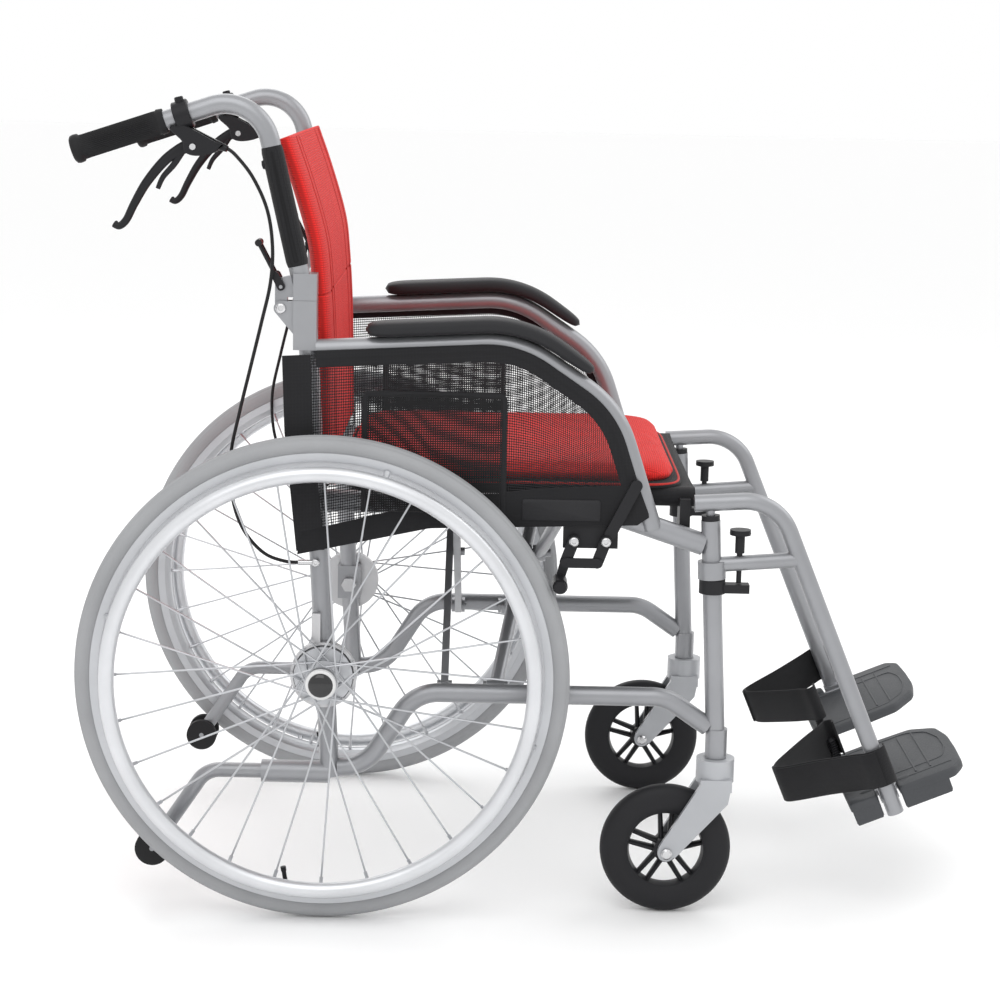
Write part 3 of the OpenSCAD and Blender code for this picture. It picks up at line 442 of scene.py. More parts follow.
def tyrePatch(s):
    # cross-section r(a) = half width around the bead's middle line, with cosine ribs over the tread
    a = np.linspace(-0.72 * np.pi, 0.72 * np.pi, 61)
    tread = np.clip(1 - np.abs(a) / 1.15, 0, 1)
    ribs = (0.5 - 0.5 * np.cos(a * tyreSpec["ribs"] * 2)) * np.minimum(1, tread * 4)
    r = tyreSpec["width"] / 2 - tyreSpec["ribDepth"] * ribs
    profile = np.stack([r * np.sin(a), tyreSpec["radius"] - tyreSpec["width"] / 2 + r * np.cos(a)], -1)
    profile = np.vstack([profile, [[4, tyreSpec["rim"] - 3], [-4, tyreSpec["rim"] - 3]], profile[:1]])
    return revolve(profile, hub(s), count=180)


def spokePatches(s):
    # each spoke runs from the flange at angle a + lead to the rim at angle a, the lead changing sign in pairs
    k = np.arange(rimSpec["spokes"])
    a = 2 * np.pi * k / rimSpec["spokes"]
    lead = np.where(k % 4 < 2, 1.25, -1.25)
    out = np.where(k % 2 == 0, 1, -1)
    foot = spot(rimSpec["flange"] * np.cos(a + lead), s * wheelY + out * rimSpec["flangeY"],
                wheelR + rimSpec["flange"] * np.sin(a + lead))
    tip = spot((rimSpec["inner"] + 1) * np.cos(a), s * wheelY + out * 2,
               wheelR + (rimSpec["inner"] + 1) * np.sin(a))
    patches = []
    for p, q in zip(foot, tip):
        patches.append(tube(np.linspace(p, q, 3), rimSpec["spokeRadius"], count=8, turn=(0.02, 1, 0.01)))
        patches.append(tube(np.linspace(q + (p - q) * 0.055, q, 3), 2.1, count=8, turn=(0.02, 1, 0.01)))
    return patches


for side, s in sides.items():
    body = "wheel_" + side
    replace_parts(build("tyreBody_" + side, [tyrePatch(s)], finishes["grey_tyre"], body, 60),
                "tyre_" + side)
    rimProfile = [[-7, 245], [-4, 243.5], [4, 243.5], [7, 245], [8.5, 249], [11, 252], [11.6, 261], [9.5, 262],
                  [8.5, 256], [-8.5, 256], [-9.5, 262], [-11.6, 261], [-11, 252], [-8.5, 249], [-7, 245]]
    hubProfile = [[-22, 0], [-22, 11], [-21, 13], [-15, 13.5], [-15, 19], [-11.5, 19], [-10, 13], [10, 13],
                  [11.5, 19], [15, 19], [16, 33.5], [28.5, 34], [28.5, 0]]
    flip = [[h * -s, r] for h, r in hubProfile]
    patches = [revolve(rimProfile, hub(s), count=180), revolve(flip, hub(s), count=64)]
    wheel = build("wheelMetal_" + side, patches + spokePatches(s), finishes["wheel_metal"], body,
                  35)
    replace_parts(wheel, "drive_wheel_" + side)
    ring = [[20 * s, 0], [26.5 * s, 0], [26.5 * s, 15.5], [25 * s, 17], [20 * s, 17.5]]
    build("hubRing_" + side, [revolve(ring, hub(s), count=64)], finishes["whiteCap"], body, 35)
    t = np.linspace(0, np.pi / 2, 14)
    dome = [[s * 24, 0], [s * 24, 14]] + np.stack([s * (26 + 5.5 * np.sin(t)), 14 * np.cos(t)], -1).tolist()
    build("hubDome_" + side, [revolve(dome, hub(s), count=64)], finishes["glossBlack"], body,
          50)
    valve = [[0, 0], [0, 2.6], [-14, 2.6], [-15, 3.2], [-20, 3.2], [-20, 0]]
    at = spot(-40, s * wheelY, wheelR - 241.5)
    build("valve_" + side, [revolve(valve, at, axis=(40 / 244, 0, -1), count=16)], finishes["black_plastic"],
          body)
print("drive wheels done")

# casters

casterSpec = dict(radius=76, half=14, ring=58, rim=44, spokes=5)
for side, s in sides.items():
    spin = joints["caster_spin_" + side]["pos_m"]
    centre = np.array([spin[0], s * halfSpan / 1000, spin[2]])
    a = np.linspace(-0.75 * np.pi, 0.75 * np.pi, 41)
    tyreProfile = np.stack([casterSpec["half"] * np.sign(np.sin(a)) * np.abs(np.sin(a)) ** 0.8,
                            casterSpec["ring"] + 18 * np.cos(a)], -1)
    tyreProfile[:, 1] = np.minimum(tyreProfile[:, 1], casterSpec["radius"])
    tyreProfile = np.vstack([tyreProfile, [[-9, casterSpec["rim"]], [9, casterSpec["rim"]]], tyreProfile[:1]])
    build("casterTyre_" + side, [revolve(tyreProfile, centre, count=96)], finishes["caster_rubber"],
          "caster_wheel_" + side, 50)
    rimProfile = [[-10, 44], [-11, 47], [-9, 49], [9, 49], [11, 47], [10, 44], [3, 42], [-3, 42], [-10, 44]]
    boss = [[-14, 4.2], [-14, 12], [-13, 14], [13, 14], [14, 12], [14, 4.2], [-14, 4.2]]
    parts = [revolve(rimProfile, centre, count=72), revolve(boss, centre, count=40)]
    for k in range(casterSpec["spokes"]):
        for split in (-1, 1):
            t = math.radians(18 + 72 * k)
            w = t + split * 0.16
            p = centre + np.array([math.cos(t + split * 0.42), 0, math.sin(t + split * 0.42)]) * 0.012
            q = centre + np.array([math.cos(w), 0, math.sin(w)]) * 0.044
            parts.append(tube(np.linspace(p, q, 6), np.linspace(3.4, 2.8, 6), flat=np.linspace(8, 6.5, 6),
                              count=16, turn=(0, 1, 0)))
    core = build("casterCore_" + side, parts, finishes["black_plastic"], "caster_wheel_" + side,
                 40)
    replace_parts(core, "caster_wheel_" + side)
    nut = [[24.3, 0], [24.3, 6], [28, 6.4], [30, 4.5], [30.5, 0]]
    nuts = [revolve(nut, centre, (0, w, 0), 24) for w in (1, -1)]
    build("casterNuts_" + side, nuts, finishes["silver"], "caster_fork_" + side, 40)
print("casters done")

# grips, brake levers, cables

post = math.tan(math.radians(3.2))
hingeX = (joints["back_fold_right"]["pos_m"][0] - axle[0]) * 1000
hingeZ = joints["back_fold_right"]["pos_m"][2] * 1000
socketZ = hingeZ + 9
caneX = hingeX + 27
handleZ = 934
lean, slope = math.radians(13), math.radians(18.6)
corner = np.array([caneX - (handleZ - socketZ) * math.tan(lean), handleZ])
gripSpec = dict(start=108, ribs=40, ribDepth=0.9)
cableRoute = [(-114, 240, 872), (-102, 244, 864), (-82, 250, 840), (-66, 252, 805), (-60, 252, 765),
              (-62, 254, 725), (-72, 254, 680), (-84, 254, 630), (-96, 254, 580), (-106, 253, 530),
              (-104, 252, 482), (-92, 251, 446), (-70, 250, 420), (-46, 249, 410), (-24, 249, 409)]


def onGrip(s):
    return corner - np.asarray(s, float)[..., None] * np.array([math.cos(slope), math.sin(slope)])


def onCane(s):
    return corner + np.asarray(s, float)[..., None] * np.array([math.sin(lean), -math.cos(lean)])


def inPlane(p, y):                                        # side-view points [x, z] at the depth y
    p = np.asarray(p, float)
    return spot(p[..., 0], y, p[..., 1])


def gripPatch(s):
    # r(a, h) = base(h) - depth (1 + cos(ribs a)) / 2 away from the ends, with a flared rim and a rounded end
    g = gripSpec
    h = np.array([0, 0.5, 6, 7, 8, 12, 20, 35, 50, 65, 80, 92, 97, 98.5, 101, 104, 106.5, 108])
    base = np.array([11.4, 13.6, 14.4, 14.4, 13.4, 13.6, 13.6, 13.6, 13.6, 13.6, 13.6, 13.6, 13.8, 15.6, 16,
                     16, 15.2, 13])
    ribbed = (h > 9) & (h < 96)
    a = np.linspace(0, 2 * np.pi, 160, endpoint=False)
    r = base[:, None] - ribbed[:, None] * g["ribDepth"] * (0.5 + 0.5 * np.cos(a * g["ribs"]))[None]
    axis = np.array([-math.cos(slope), 0, -math.sin(slope)])
    u, v = np.array([0, 1.0, 0]), np.cross(axis, [0, 1.0, 0])
    centre = inPlane(onGrip(g["start"] + h), s * halfSpan)
    grid = centre[:, None] + r[..., None] / 1000 * (np.cos(a)[None, :, None] * u + np.sin(a)[None, :, None] * v)
    return dict(grid=grid, aroundV=True, caps=True)


pivots = {k: (np.array(joints["brake_lever_" + k]["pos_m"]) - axle) * 1000 + [0, 0, wheelR] for k in sides}
for side, s in sides.items():
    y = s * halfSpan
    grip = build("gripRibbed_" + side, [gripPatch(s)], finishes["grip_rubber"], "back_" + side,
                 50)
    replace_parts(grip, "grip_" + side)
    p = pivots[side][[0, 2]]
    blade = smoothPath([p + [3, 3], p + [-14, -3], p + [-32, -16], p + [-52, -40], p + [-66, -64],
                        p + [-75, -82], p + [-83, -89], p + [-89, -86]], 8)
    n = len(blade)
    t = np.linspace(0, 1, n)
    wide = np.interp(t, [0, 0.06, 0.2, 0.6, 0.9, 0.97, 1], [6, 7.5, 6, 4.6, 4, 4.6, 3])
    thick = np.interp(t, [0, 0.1, 0.5, 0.9, 1], [2.9, 2.9, 4, 4, 3])
    eye = [[-2.9, 3.05], [-2.9, 8], [2.9, 8], [2.9, 3.05], [-2.9, 3.05]]
    tongue = smoothPath([p + [-12, -4], p + [-22, -20], p + [-34, -34], p + [-40, -47]], 6)
    lever = build("leverBlade_" + side, [
        tube(inPlane(blade, y), wide, flat=thick, count=20),
        tube(inPlane(tongue, y), np.linspace(4, 2.6, len(tongue)), flat=np.full(len(tongue), 2.2), count=14),
        revolve(eye, inPlane(p, y), count=32)], finishes["black_plastic"], "brake_lever_" + side,
        45)
    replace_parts(lever, "brake_lever_" + side)
    # clamp ring, body and pivot bolt of the bracket
    c = onGrip(88.0)
    ax = np.array([-math.cos(slope), 0, -math.sin(slope)])
    ring = [[-9, 11], [-9, 15], [-8, 16.2], [8, 16.2], [9, 15], [9, 11], [-9, 11]]
    bodyCurve = smoothPath([c + [3, -10], c + [40, -30], p + [34, 4], p + [24, -6], p + [4, -10], p + [-9, -6],
                            p + [-12, 6], c + [-14, -14], c + [3, -10]], 6)
    bodyOutline = resample(bodyCurve, 48)[:-1]
    ear1 = plate(bodyOutline, y - 12, y - 3.4, 1.2)
    ear2 = plate(bodyOutline, y + 3.4, y + 12, 1.2)
    bridgeCorners = np.array([c + [8, -12], c + [38, -27], p + [32, 3], p + [16, 8], c + [8, -12]])
    bridge = plate(resample(bridgeCorners, 30)[:-1], y - 4, y + 4, 0.4)
    ferrule = tube(np.linspace(spot(p[0] + 24, s * 238.5, p[1] + 3), spot(-111, s * 241, 870), 5),
                   [5, 5, 4.4, 4, 3.6], count=16, turn=(0, 0, 1))
    clampBolt = revolve([[0, 0], [0, 5], [-6, 5], [-7, 4], [-7, 0]], inPlane(c + [-3, 13], y - 3),
                        axis=(0.25, 0, -1), count=20)
    clampRing = revolve(ring, inPlane(c, y), axis=ax, count=40)
    bracket = build("leverBracket_" + side, [clampRing, ear1, ear2, bridge, ferrule, clampBolt],
                    finishes["black_plastic"], "back_" + side, 40)
    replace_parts(bracket, "brake_bracket_" + side)
    screw = [[-13.4, 0], [-13.4, 3.4], [-12, 4], [12, 4], [13.4, 3.4], [13.4, 0]]
    build("leverScrew_" + side, [revolve(screw, inPlane(p, y), count=24)], finishes["silver"], "back_" + side,
          40)
    route = spot(*np.array(cableRoute).T * np.array([[1], [s], [1]]))
    sheath = tube(smoothPath(route, 10), 2, count=12, turn=(0.05, 1, 0))
    cable = build("cable_" + side, [sheath], finishes["cable_black"], None, 60)
    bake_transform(cable)
    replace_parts(cable, "brake_cable_" + side)
    ends = [tube(np.linspace(spot(-30, s * 249, 409), spot(-12, s * 249, 409), 4), [3.4, 3.4, 3.2, 3],
                 count=16)]
    build("cableFerrule_" + side, ends, finishes["silver"], "frame_" + side, 40)
print("handles done")

# armrest pads, side panels

armSpec = dict(out=6, tube=11, bend=120, padWidth=46, padThick=17)
armZ = 650
armPath = np.array([[(wheelR - armZ) * post + 9, armZ + 1], [215, armZ + 14], [325, armZ - 60], [370, 454]])
armLine = resample(bentPath(armPath, armSpec["bend"], 16), 90)
armAlong = np.concatenate([[0], np.cumsum(np.linalg.norm(np.diff(armLine, axis=0), axis=1))])


def padPatch(s):
    # ring(t, a) = mid(t) + w(t) c(a) along y + h(t) s(a) (1 + 0.08 (1 - c(a)^2)) along the normal,
    # c and s the cosine and sine raised to a power, w and h closing at both ends
    lo, hi = 52, 318
    line = resample(armLine[(armAlong > lo) & (armAlong < hi)], 64)
    t = np.linspace(0, 1, 64)
    close = np.sqrt(np.clip(1 - np.abs(2 * t - 1) ** 14, 0, 1))
    wide = armSpec["padWidth"] / 2 * close * (1 - 0.28 * t ** 3)
    high = armSpec["padThick"] / 2 * close ** 0.8 * (1 - 0.25 * t ** 4)
    normal = unitRows(np.stack([-np.gradient(line[:, 1]), np.gradient(line[:, 0])], -1))
    mid = line + normal * (armSpec["tube"] + 0.6 + armSpec["padThick"] / 2)
    a = np.linspace(0, 2 * np.pi, 44, endpoint=False)
    cx, cy = (np.sign(f(a)) * np.abs(f(a)) ** 0.62 for f in (np.cos, np.sin))
    lift = high[:, None] * (cy * (1 + 0.08 * (1 - cx ** 2)))[None]
    y = s * (halfSpan + armSpec["out"]) + wide[:, None] * cx[None]
    p = mid[:, None] + normal[:, None] * lift[..., None]
    return dict(grid=spot(p[..., 0], y, p[..., 1]), aroundV=True)


def thicken(piece, thickness):
    m = piece.modifiers.new("thickness", "SOLIDIFY")
    m.thickness, m.offset = thickness, 0


panelY = halfSpan + armSpec["tube"] + armSpec["out"]
for side, s in sides.items():
    pad = build("armPad_" + side, [padPatch(s)], finishes["pad_vinyl"], "frame_" + side, 60)
    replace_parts(pad, "armrest_pad_" + side)
    # the panel's rim: rear edge, top along the arm tube, front tip and slanting bottom edge
    top = pushed(armLine, -2)
    top = top[top[:, 1] > 468]
    bottom = np.array([[-30, 418], [118, 451], [352, 459], [368, 470]])
    # net between the rims as a grid: between the bottom line and the top line at each x
    x = np.linspace(-38, 362, 90)
    low = np.interp(x, bottom[:, 0], bottom[:, 1]) + 3
    low = np.where(x < -30, np.interp(x, [-47, -30], [645, 418]), low)
    order = np.argsort(top[:, 0])
    high = np.interp(x, np.concatenate([[-48], top[order, 0]]), np.concatenate([[646], top[order, 1]])) - 2
    v = np.linspace(0, 1, 24)[None, :]
    z = low[:, None] + (np.maximum(high, low + 1) - low)[:, None] * v
    xx = np.broadcast_to(x[:, None], z.shape)
    bulge = 1.2 + 1.6 * np.sin(np.pi * (xx + 40) / 410) * np.sin(np.pi * v)
    front = spot(xx, s * (panelY + bulge), z)
    netPiece = build("sideNet_" + side, [dict(grid=front)], finishes["net"], "frame_" + side,
                     60)
    thicken(netPiece, 0.0005)
    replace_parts(netPiece, "side_panel_" + side)
    edges = []
    rearBand = resample(np.array([[-33, 645], [-30, 560], [-16, 424]]), 24)
    edges.append(band(inPlane(rearBand, s * (panelY + 1.6)), (1, 0, 0.06), 32, 2.4))
    edges.append(tube(inPlane(resample(pushed(top, -8), 70), s * (panelY + 1.7)), 9.5, flat=1.3, count=12))
    lower = np.array([[-31, 419], [118, 452], [352, 460], [366, 470], [352, 506], [240, 500], [118, 482],
                      [-27, 445]])
    edges.append(plate(resample(np.vstack([lower, lower[:1]]), 160)[:-1], s * (panelY + 1.0),
                       s * (panelY + 3.0), 0.5))
    build("panelRim_" + side, edges, finishes["panel_fabric"], "frame_" + side, 50)
    # pocket of a closer net, with a bound edge, and a plain patch
    px = np.linspace(44, 200, 30)[:, None]
    pz = np.linspace(470, 604, 26)[None, :]
    px, pz = np.broadcast_arrays(px, pz)
    acrossX, upZ = (np.clip(np.sin(np.pi * q), 0, 1) for q in ((px - 44) / 156, (pz - 470) / 150))
    pouch = spot(px, s * (panelY + 3.2 + 3.0 * acrossX * upZ), pz)
    pocket = build("pocket_" + side, [dict(grid=pouch)], finishes["denseNet"], "frame_" + side,
                   60)
    thicken(pocket, 0.0006)
    square = np.array([[44, 470], [44, 604], [200, 604], [200, 470]])
    build("pocketEdge_" + side, [tube(inPlane(resample(square, 60), s * (panelY + 3.2)), 3.0, flat=1.0,
                                      count=10)],
          finishes["panel_fabric"], "frame_" + side, 50)
    patch = np.array([[222, 464], [222, 488], [310, 488], [310, 464]])
    build("blankPatch_" + side, [plate(resample(np.vstack([patch, patch[:1]]), 60)[:-1], s * (panelY + 3),
                                       s * (panelY + 4.2), 0.4)],
          finishes["pad_vinyl"], "frame_" + side, 50)
print("arms done")

# upholstery

cushionSpec = dict(pressure=2.0, voxel=0.006, frames=20, cap=0.005)


def paddedBox(centre, half, power=0.18, count=(72, 40)):
    # superellipsoid: (a c(v) c(u), b c(v) s(u), d s(v)) with c and s raised to a small power
    u = np.linspace(-np.pi, np.pi, count[0], endpoint=False)[:, None]
    v = np.linspace(-np.pi / 2, np.pi / 2, count[1])[None, :]
    c = lambda q, e: np.sign(np.cos(q)) * np.abs(np.cos(q)) ** e
    d = lambda q, e: np.sign(np.sin(q)) * np.abs(np.sin(q)) ** e
    grid = np.stack([half[0] * c(v, 0.35) * c(u, power), half[1] * c(v, 0.35) * d(u, power),
                     half[2] * d(v, 0.7) * np.ones_like(u)], -1)
    return np.array(centre) + grid


def swell(piece, cap, pressure):
    # a short cloth run under inner pressure, each point held within the cap
    bpy.context.view_layer.objects.active = piece
    remesh = piece.modifiers.new("remesh", "REMESH")
    remesh.mode, remesh.voxel_size = "VOXEL", cushionSpec["voxel"]
    bpy.ops.object.select_all(action="DESELECT")
    piece.select_set(True)
    bpy.ops.object.modifier_apply(modifier="remesh")
    smooth = piece.modifiers.new("smoothed", "SMOOTH")
    smooth.factor, smooth.iterations = 0.5, 10
    bpy.ops.object.modifier_apply(modifier="smoothed")
    start = np.empty(len(piece.data.vertices) * 3)
    piece.data.vertices.foreach_get("co", start)
    cloth = piece.modifiers.new("cloth", "CLOTH")
    cloth.settings.use_pressure = True
    cloth.settings.uniform_pressure_force = pressure
    cloth.settings.effector_weights.gravity = 0
    cloth.settings.quality = 5
    for f in range(1, cushionSpec["frames"] + 1):
        bpy.context.scene.frame_set(f)
    bpy.context.view_layer.update()
    done = piece.evaluated_get(bpy.context.evaluated_depsgraph_get())
    end = np.empty(len(done.data.vertices) * 3)
    done.data.vertices.foreach_get("co", end)
    piece.modifiers.remove(cloth)
    bpy.context.scene.frame_set(1)
    start, end = start.reshape(-1, 3), end.reshape(-1, 3)
    move = end - start
    far = np.linalg.norm(move, axis=1, keepdims=True)
    move *= np.minimum(1, cap / np.maximum(far, 1e-9))
    piece.data.vertices.foreach_set("co", (start + move).ravel())
    piece.data.update()
    piece.data.polygons.foreach_set("use_smooth", np.ones(len(piece.data.polygons), bool))
    finer = piece.modifiers.new("finer", "SUBSURF")
    finer.levels, finer.render_levels = 1, 1


seatBox = np.array(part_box("seat_cushion"), float)
seatMid, seatHalf = seatBox.mean(0), (seatBox[1] - seatBox[0]) / 2
seatGrid = paddedBox(seatMid, seatHalf * [0.985, 0.985, 0.80])
seat = build("seatPad", [dict(grid=seatGrid, aroundU=True)], finishes["seatWeave"], "seat", 60)
swell(seat, cushionSpec["cap"], cushionSpec["pressure"])
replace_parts(seat, "seat_cushion")
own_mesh(seat)

slingBox = np.array(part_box("seat_sling"), float)
# seat rails, and the cloth's radius round them
railY, railZ, clothR = 200, 484, 10.3
slingX = (slingBox[0][0] - axle[0]) * 1000, (slingBox[1][0] - axle[0]) * 1000
# how far the cloth goes round a rail, in radians
wrap = np.linspace(2.6, 0, 18)
middle = np.linspace(-1, 1, 40)[1:-1]
# across the chair: up round one rail, over the middle with a slight sag, and down round the other rail
lineY = np.concatenate([railY + clothR * np.sin(wrap), -middle * railY, -railY - clothR * np.sin(wrap[::-1])])
lineZ = np.concatenate([railZ + clothR * np.cos(wrap), railZ + clothR - 3.5 * (1 - middle ** 6),
                        railZ + clothR * np.cos(wrap[::-1])])
xs = np.linspace(slingX[0] + 4, slingX[1] + 6, 60)
upper = spot(xs[:, None], lineY[None], lineZ[None])
sling = build("seatSling", [dict(grid=upper)], finishes["black_webbing"], "seat", 60)
thicken(sling, 0.0022)
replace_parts(sling, "seat_sling")
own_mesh(sling)
# the black quilted edge under the front of the cushion
edge = paddedBox([seatMid[0] + 0.001, 0, 0.497], [seatHalf[0] * 0.995, seatHalf[1] * 0.99, 0.0062])
under = build("seatBase", [dict(grid=edge, aroundU=True)], finishes["black_webbing"], "seat",
              60)
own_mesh(under)


backSpec = dict(half=219.5, thick=22, seam=0.52)


def backGrid(u0, u1, halfWidth, thick, rows, cols=70):
    # ring(u, a) = spine(u) + normal (thick / 2 (1 + s(a)) - sag (1 - (y/w)^2)), with y = w c(a), c and s the
    # cosine and sine raised to a small power
    spine = smoothPath([[caneX + 10, 514], [caneX + 9, 600], [caneX + 7, 671], [caneX + 3, 731],
                        [caneX - 2, 770], [caneX - 19, 828], [caneX - 36, 876], [caneX - 37, 879]], 12)
    whole = resample(spine, 241)
    for _ in range(40):                                   # averaged as a whole, so both pads agree
        whole[1:-1] = (whole[:-2] + 2 * whole[1:-1] + whole[2:]) / 4
    turned = unitRows(np.stack([np.gradient(whole[:, 1]), -np.gradient(whole[:, 0])], -1))
    at, from0 = np.linspace(u0, u1, rows), np.linspace(0, 1, 241)
    line, normal = (np.stack([np.interp(at, from0, q[:, k]) for k in (0, 1)], -1) for q in (whole, turned))
    a = np.linspace(0, 2 * np.pi, cols, endpoint=False)
    cy = np.sign(np.cos(a)) * np.abs(np.cos(a)) ** 0.16
    cz = np.sign(np.sin(a)) * np.abs(np.sin(a)) ** 0.75
    y = halfWidth * cy
    off = thick / 2 + thick / 2 * cz
    sag = 5 * (1 - (y / halfWidth) ** 2)
    p = line[:, None] + normal[:, None] * (off - sag)[None, :, None]
    return spot(p[..., 0], np.broadcast_to(y, p.shape[:2]), p[..., 1])


for name, node, u0, u1, body in (("backPadUpper", "back_upper", backSpec["seam"], 1.0, "back_right"),
                                 ("backPadLower", "back_lower", 0.0, backSpec["seam"], "frame_right")):
    g = backGrid(u0, u1, backSpec["half"], backSpec["thick"], 60)
    pad = build(name, [dict(grid=g, aroundV=True, caps=True)], finishes["backWeave"], body, 50)
    bevel = pad.modifiers.new("soft edges", "BEVEL")
    bevel.width, bevel.segments, bevel.limit_method = 0.004, 3, "ANGLE"
    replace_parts(pad, node)
    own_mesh(pad)

# black sleeves round the back tubes, seams down the back and round the seat
for side, s in sides.items():
    sleevePath = inPlane(onCane(np.linspace(62, 196, 24)), s * halfSpan)
    sleeveR = np.interp(np.linspace(0, 1, 24), [0, 0.03, 0.97, 1], [11.3, 12.2, 12.4, 11.4])
    build("backSleeve_" + side, [tube(sleevePath, sleeveR, count=40)], finishes["panel_fabric"], "back_" + side,
          60)
    snap = revolve([[-4, 0], [-4, 5], [0, 5.5], [2.5, 4.5], [3.4, 0]],
                   inPlane(onCane(80.0) - [11.5, 2.5], s * halfSpan), axis=(-1, 0, -0.23), count=24)
    build("sleeveSnap_" + side, [snap], finishes["black_plastic"], "back_" + side, 40)


def backFace(u, y):                                       # a point on the front of the back pad
    g = backGrid(0.0, 1.0, backSpec["half"], backSpec["thick"], 80, 240)
    rows = np.round(np.asarray(u) * 79).astype(int)
    # the half turn from +y round the front to -y
    front = g[:, :121]
    at = np.argmin(np.abs(front[0, :, 1] - y / 1000))
    return front[rows, at]


upperSeams, lowerSeams = [], []
for y in (-168, -62, 62, 168):
    upperSeams.append(tube(backFace(np.linspace(0.525, 0.99, 30), y), 1.1, count=8))
    lowerSeams.append(tube(backFace(np.linspace(0.03, 0.515, 30), y), 1.1, count=8))
for name, patches, body in (("backSeamsUpper", upperSeams, "back_right"),
                            ("backSeamsLower", lowerSeams, "frame_right")):
    seam = build(name, patches, finishes["thread"], body, 60)
    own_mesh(seam)
a = np.linspace(0, 2 * np.pi, 200)
hem = np.stack([seatMid[0] + seatHalf[0] * 0.985 * np.sign(np.cos(a)) * np.abs(np.cos(a)) ** 0.18,
                seatHalf[1] * 0.985 * np.sign(np.sin(a)) * np.abs(np.sin(a)) ** 0.18,
                np.full(200, seatMid[2] - 0.009)], -1)
piping = build("seatPiping", [tube(hem, 1.6, count=8, turn=(0, 0, 1))], finishes["thread"], "seat",
               60)
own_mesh(piping)
print("upholstery done")

# footrests

plateJoint = np.array(joints["footplate_flip_right"]["pos_m"])
plateAt = (plateJoint - axle) * 1000 + [0, 0, wheelR]
plateTilt = math.radians(22.6)
plateSpec = dict(rear=48, front=95, width=172, thick=12, notch=12.75, hinge=17.75, skirt=22)


def onPlate(x, y, z, s):
    # local millimetres: x along the plate, y towards the middle, z up
    x, y, z = np.broadcast_arrays(np.asarray(x, float), np.asarray(y, float), np.asarray(z, float))
    return spot(plateAt[0] + x * math.cos(plateTilt) - z * math.sin(plateTilt), s * (halfSpan - y),
                plateAt[2] + x * math.sin(plateTilt) + z * math.cos(plateTilt))


def rounded(outline, count, passes):
    # corners averaged with their neighbours, pass after pass
    o = resample(np.vstack([outline, outline[:1]]), count + 1)[:-1]
    for _ in range(passes):
        o = (np.roll(o, 1, 0) + 2 * o + np.roll(o, -1, 0)) / 4
    return o


def platePatch(outline, levels, s):
    # rings of the outline, each drawn in by d at the height z
    t = unitRows(np.roll(outline, -1, 0) - np.roll(outline, 1, 0))
    n = np.stack([t[:, 1], -t[:, 0]], -1)
    rings = [onPlate(*(outline - n * d).T, z, s) for d, z in levels]
    return dict(grid=np.stack(rings), aroundV=True, caps=True)


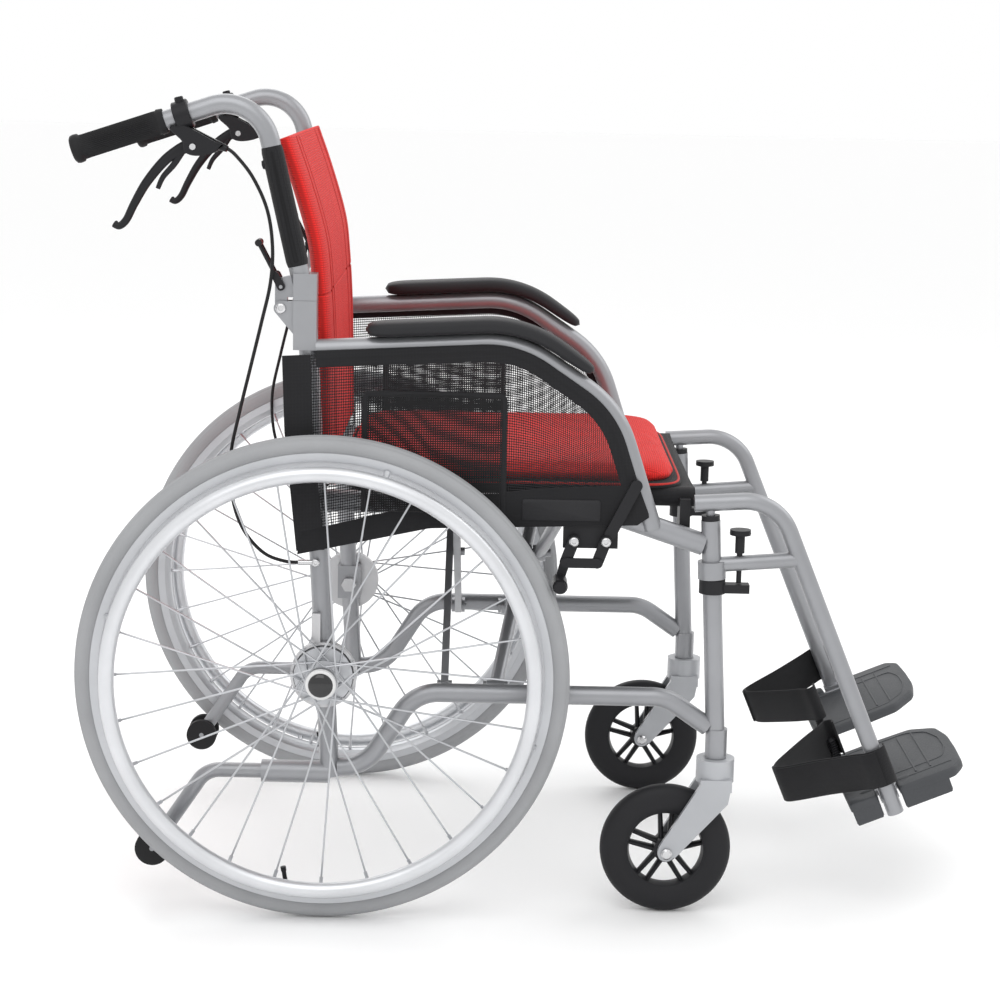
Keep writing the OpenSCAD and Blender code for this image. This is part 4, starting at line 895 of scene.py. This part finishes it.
for side, s in sides.items():
    p = plateSpec
    out = -8.7
    deck = rounded(np.array([[-p["rear"], out], [-p["notch"], out], [-p["notch"], 28], [p["notch"], 28],
                             [p["notch"], out], [80, out], [93, 10], [p["front"], 60], [p["front"], 110],
                             [88, 150], [60, 178], [20, 181.5], [-30, 181.5], [-45, 165],
                             [-p["rear"], 130]]), 260, 5)
    h = p["thick"] / 2
    parts = [platePatch(deck, [(2.2, -h), (0.3, -h + 2), (0, 0), (0.2, h - 3), (1.2, h - 1), (3.2, h)], s)]
    for x0, x1 in ((-p["rear"] + 1.5, -p["notch"] - 0.4), (p["notch"] + 0.4, 72)):
        wall = rounded(np.array([[x0, out + 0.6], [x1, out + 0.6], [x1, out + 6], [x0, out + 6]]), 60, 3)
        parts.append(platePatch(wall, [(1.5, -p["skirt"]), (0.2, -p["skirt"] + 3), (0, 0)], s))
        parts.append(tube(onPlate(np.linspace(max(x0, -31), min(x1, 31), 5), p["hinge"], 0, s),
                          [6.5, 7.8, 7.8, 7.8, 6.5], count=28, turn=(0, 1, 0)))
    # two raised lines across the tread, and one along its edge
    for x in (40, 58):
        parts.append(tube(onPlate(x, np.linspace(22, 160, 24), h + 0.1, s), 1.3, flat=0.9, count=8,
                          turn=(0, 0, 1)))
    parts.append(tube(onPlate(np.linspace(20, 82, 14), 16, h + 0.1, s), 1.3, flat=0.9, count=8, turn=(0, 0, 1)))
    inner = rounded(np.array([[-36, 40], [76, 40], [84, 70], [84, 110], [74, 146], [52, 166], [-26, 168],
                              [-36, 150]]), 160, 8)
    innerLine = onPlate(*np.vstack([inner, inner[:1]]).T, h + 0.1, s)
    innerCord = tube(innerLine, 1.1, flat=0.8, count=8, turn=(0, 0, 1))["grid"]
    parts.append(dict(grid=innerCord, aroundV=True))
    tread = build("footTread_" + side, parts, finishes["plate_plastic"], "footplate_" + side,
                  40)
    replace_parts(tread, "footplate_" + side)
    # the post that the heel loop is tied to, ringed
    hs = np.linspace(h - 0.5, h + 34, 36)
    ringed = 5.4 + 0.7 * np.cos(hs * 2.1)
    ringed[-3:] = [5, 3.6, 1.2]
    build("loopPost_" + side, [tube(onPlate(-p["rear"] + 12, p["width"] - 22, hs, s), ringed, count=24,
                                    turn=(1, 0, 0))],
          finishes["black_plastic"], "footplate_" + side, 60)
    # webbing: out round the tube, back behind the heel and in to the post
    way = smoothPath([[14, 2], [13, -8], [4, -13.2], [-8, -12], [-24, 0], [-62, 26], [-98, 46], [-111, 58],
                      [-108, 74], [-88, 100], [-64, 128], [-46, 146], [-36, 158.5], [-27, 154], [-27, 144]], 8)
    layer = [band(onPlate(way[:, 0], way[:, 1], 37, s), onPlate(0, 0, 1, s) - onPlate(0, 0, 0, s), 45, 2.2)]
    lap = way[18:62]
    lap = pushed(lap, 2.6)
    layer.append(band(onPlate(lap[:, 0], lap[:, 1], 37, s), onPlate(0, 0, 1, s) - onPlate(0, 0, 0, s), 43, 2.0))
    loop = build("heelWebbing_" + side, layer, finishes["black_webbing"], None, 50)
    tuple(onPlate(0, 30, 37, s))
    tuple(onPlate(0, 140, 37, s))
    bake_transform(loop)
    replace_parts(loop, "heel_loop_" + side)
print("footrests done")

# bolts, caps and the parking roller


def bolt(centre, axis, r, h):
    # a domed head with a socket, standing out along the axis
    return revolve([[-1, 0], [-1, r], [h * 0.55, r], [h * 0.85, r * 0.86], [h, r * 0.62], [h, r * 0.45],
                    [h * 0.4, r * 0.42], [h * 0.4, 0]],
                   centre, axis, 20)


for side, s in sides.items():
    hand = np.array(joints["parking_handle_" + side]["pos_m"])
    arm = np.array(joints["parking_arm_" + side]["pos_m"])
    outward = (0, s, 0)
    plateFace = s * (panelY + 3 + 1.5 + 3.5 + 0.3 + 3) / 1000
    heads = [bolt(np.array([q[0], plateFace, q[2]]), outward, 5.6, 4) for q in (hand, arm)]
    hingeAt = np.array(joints["back_fold_" + side]["pos_m"])
    heads += [bolt(hingeAt + [0, w * 0.009, 0], (0, w, 0), 6, 3.4) for w in (1, -1)]
    heads.append(bolt(inPlane([-24 + 14, 409], s * 251), outward, 4.5, 3))
    heads += [bolt(inPlane(q, s * (halfSpan + 11)), outward, 3.4, 2.2) for q in ([306, 603], [350, 520])]
    build("frameBolts_" + side, heads, finishes["silver"], "frame_" + side, 40)
    # ribbed roller on the end of the parking arm
    rollerX, rollerZ = 265.9, 395
    a = np.linspace(0, 2 * np.pi, 96, endpoint=False)
    r = 8.3 - 0.55 * (0.5 + 0.5 * np.cos(a * 16))
    ys = np.linspace(267.5, 294.5, 6)
    shrink = np.array([0.82, 0.98, 1, 1, 0.98, 0.82])
    roller = spot(rollerX + shrink[:, None] * r * np.cos(a), s * ys[:, None],
                  rollerZ + shrink[:, None] * r * np.sin(a))
    build("parkingRoller_" + side, [dict(grid=roller, aroundV=True, caps=True)], finishes["caster_rubber"],
          "parking_arm_" + side, 45)
    # knob cap with a turned-down rim
    knob = np.array(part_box("release_knob_" + side), float)
    kx, ky = knob.mean(0)[:2]
    top = knob[1][2] * 1000
    cap = [[0, 0], [0, 3.4], [12, 3.2], [22, 3.4], [24, 7], [25, 11.6], [27, 12.3], [29.5, 11.9], [30.8, 9],
           [31.2, 0]]
    turnedCap = revolve([[z - 31.2, q] for z, q in cap], [kx, ky, top / 1000], (0, 0, 1), 40)
    build("knobCap_" + side, [turnedCap], finishes["black_plastic"], "release_knob_" + side,
          40)
print("fittings done")

cadCorners, seen = [list(map(float, c)) for c in cadBox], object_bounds()
{"cad": cadCorners, "visual": [list(map(float, c)) for c in seen]}
print("boxes", cadCorners, [list(map(float, c)) for c in seen])
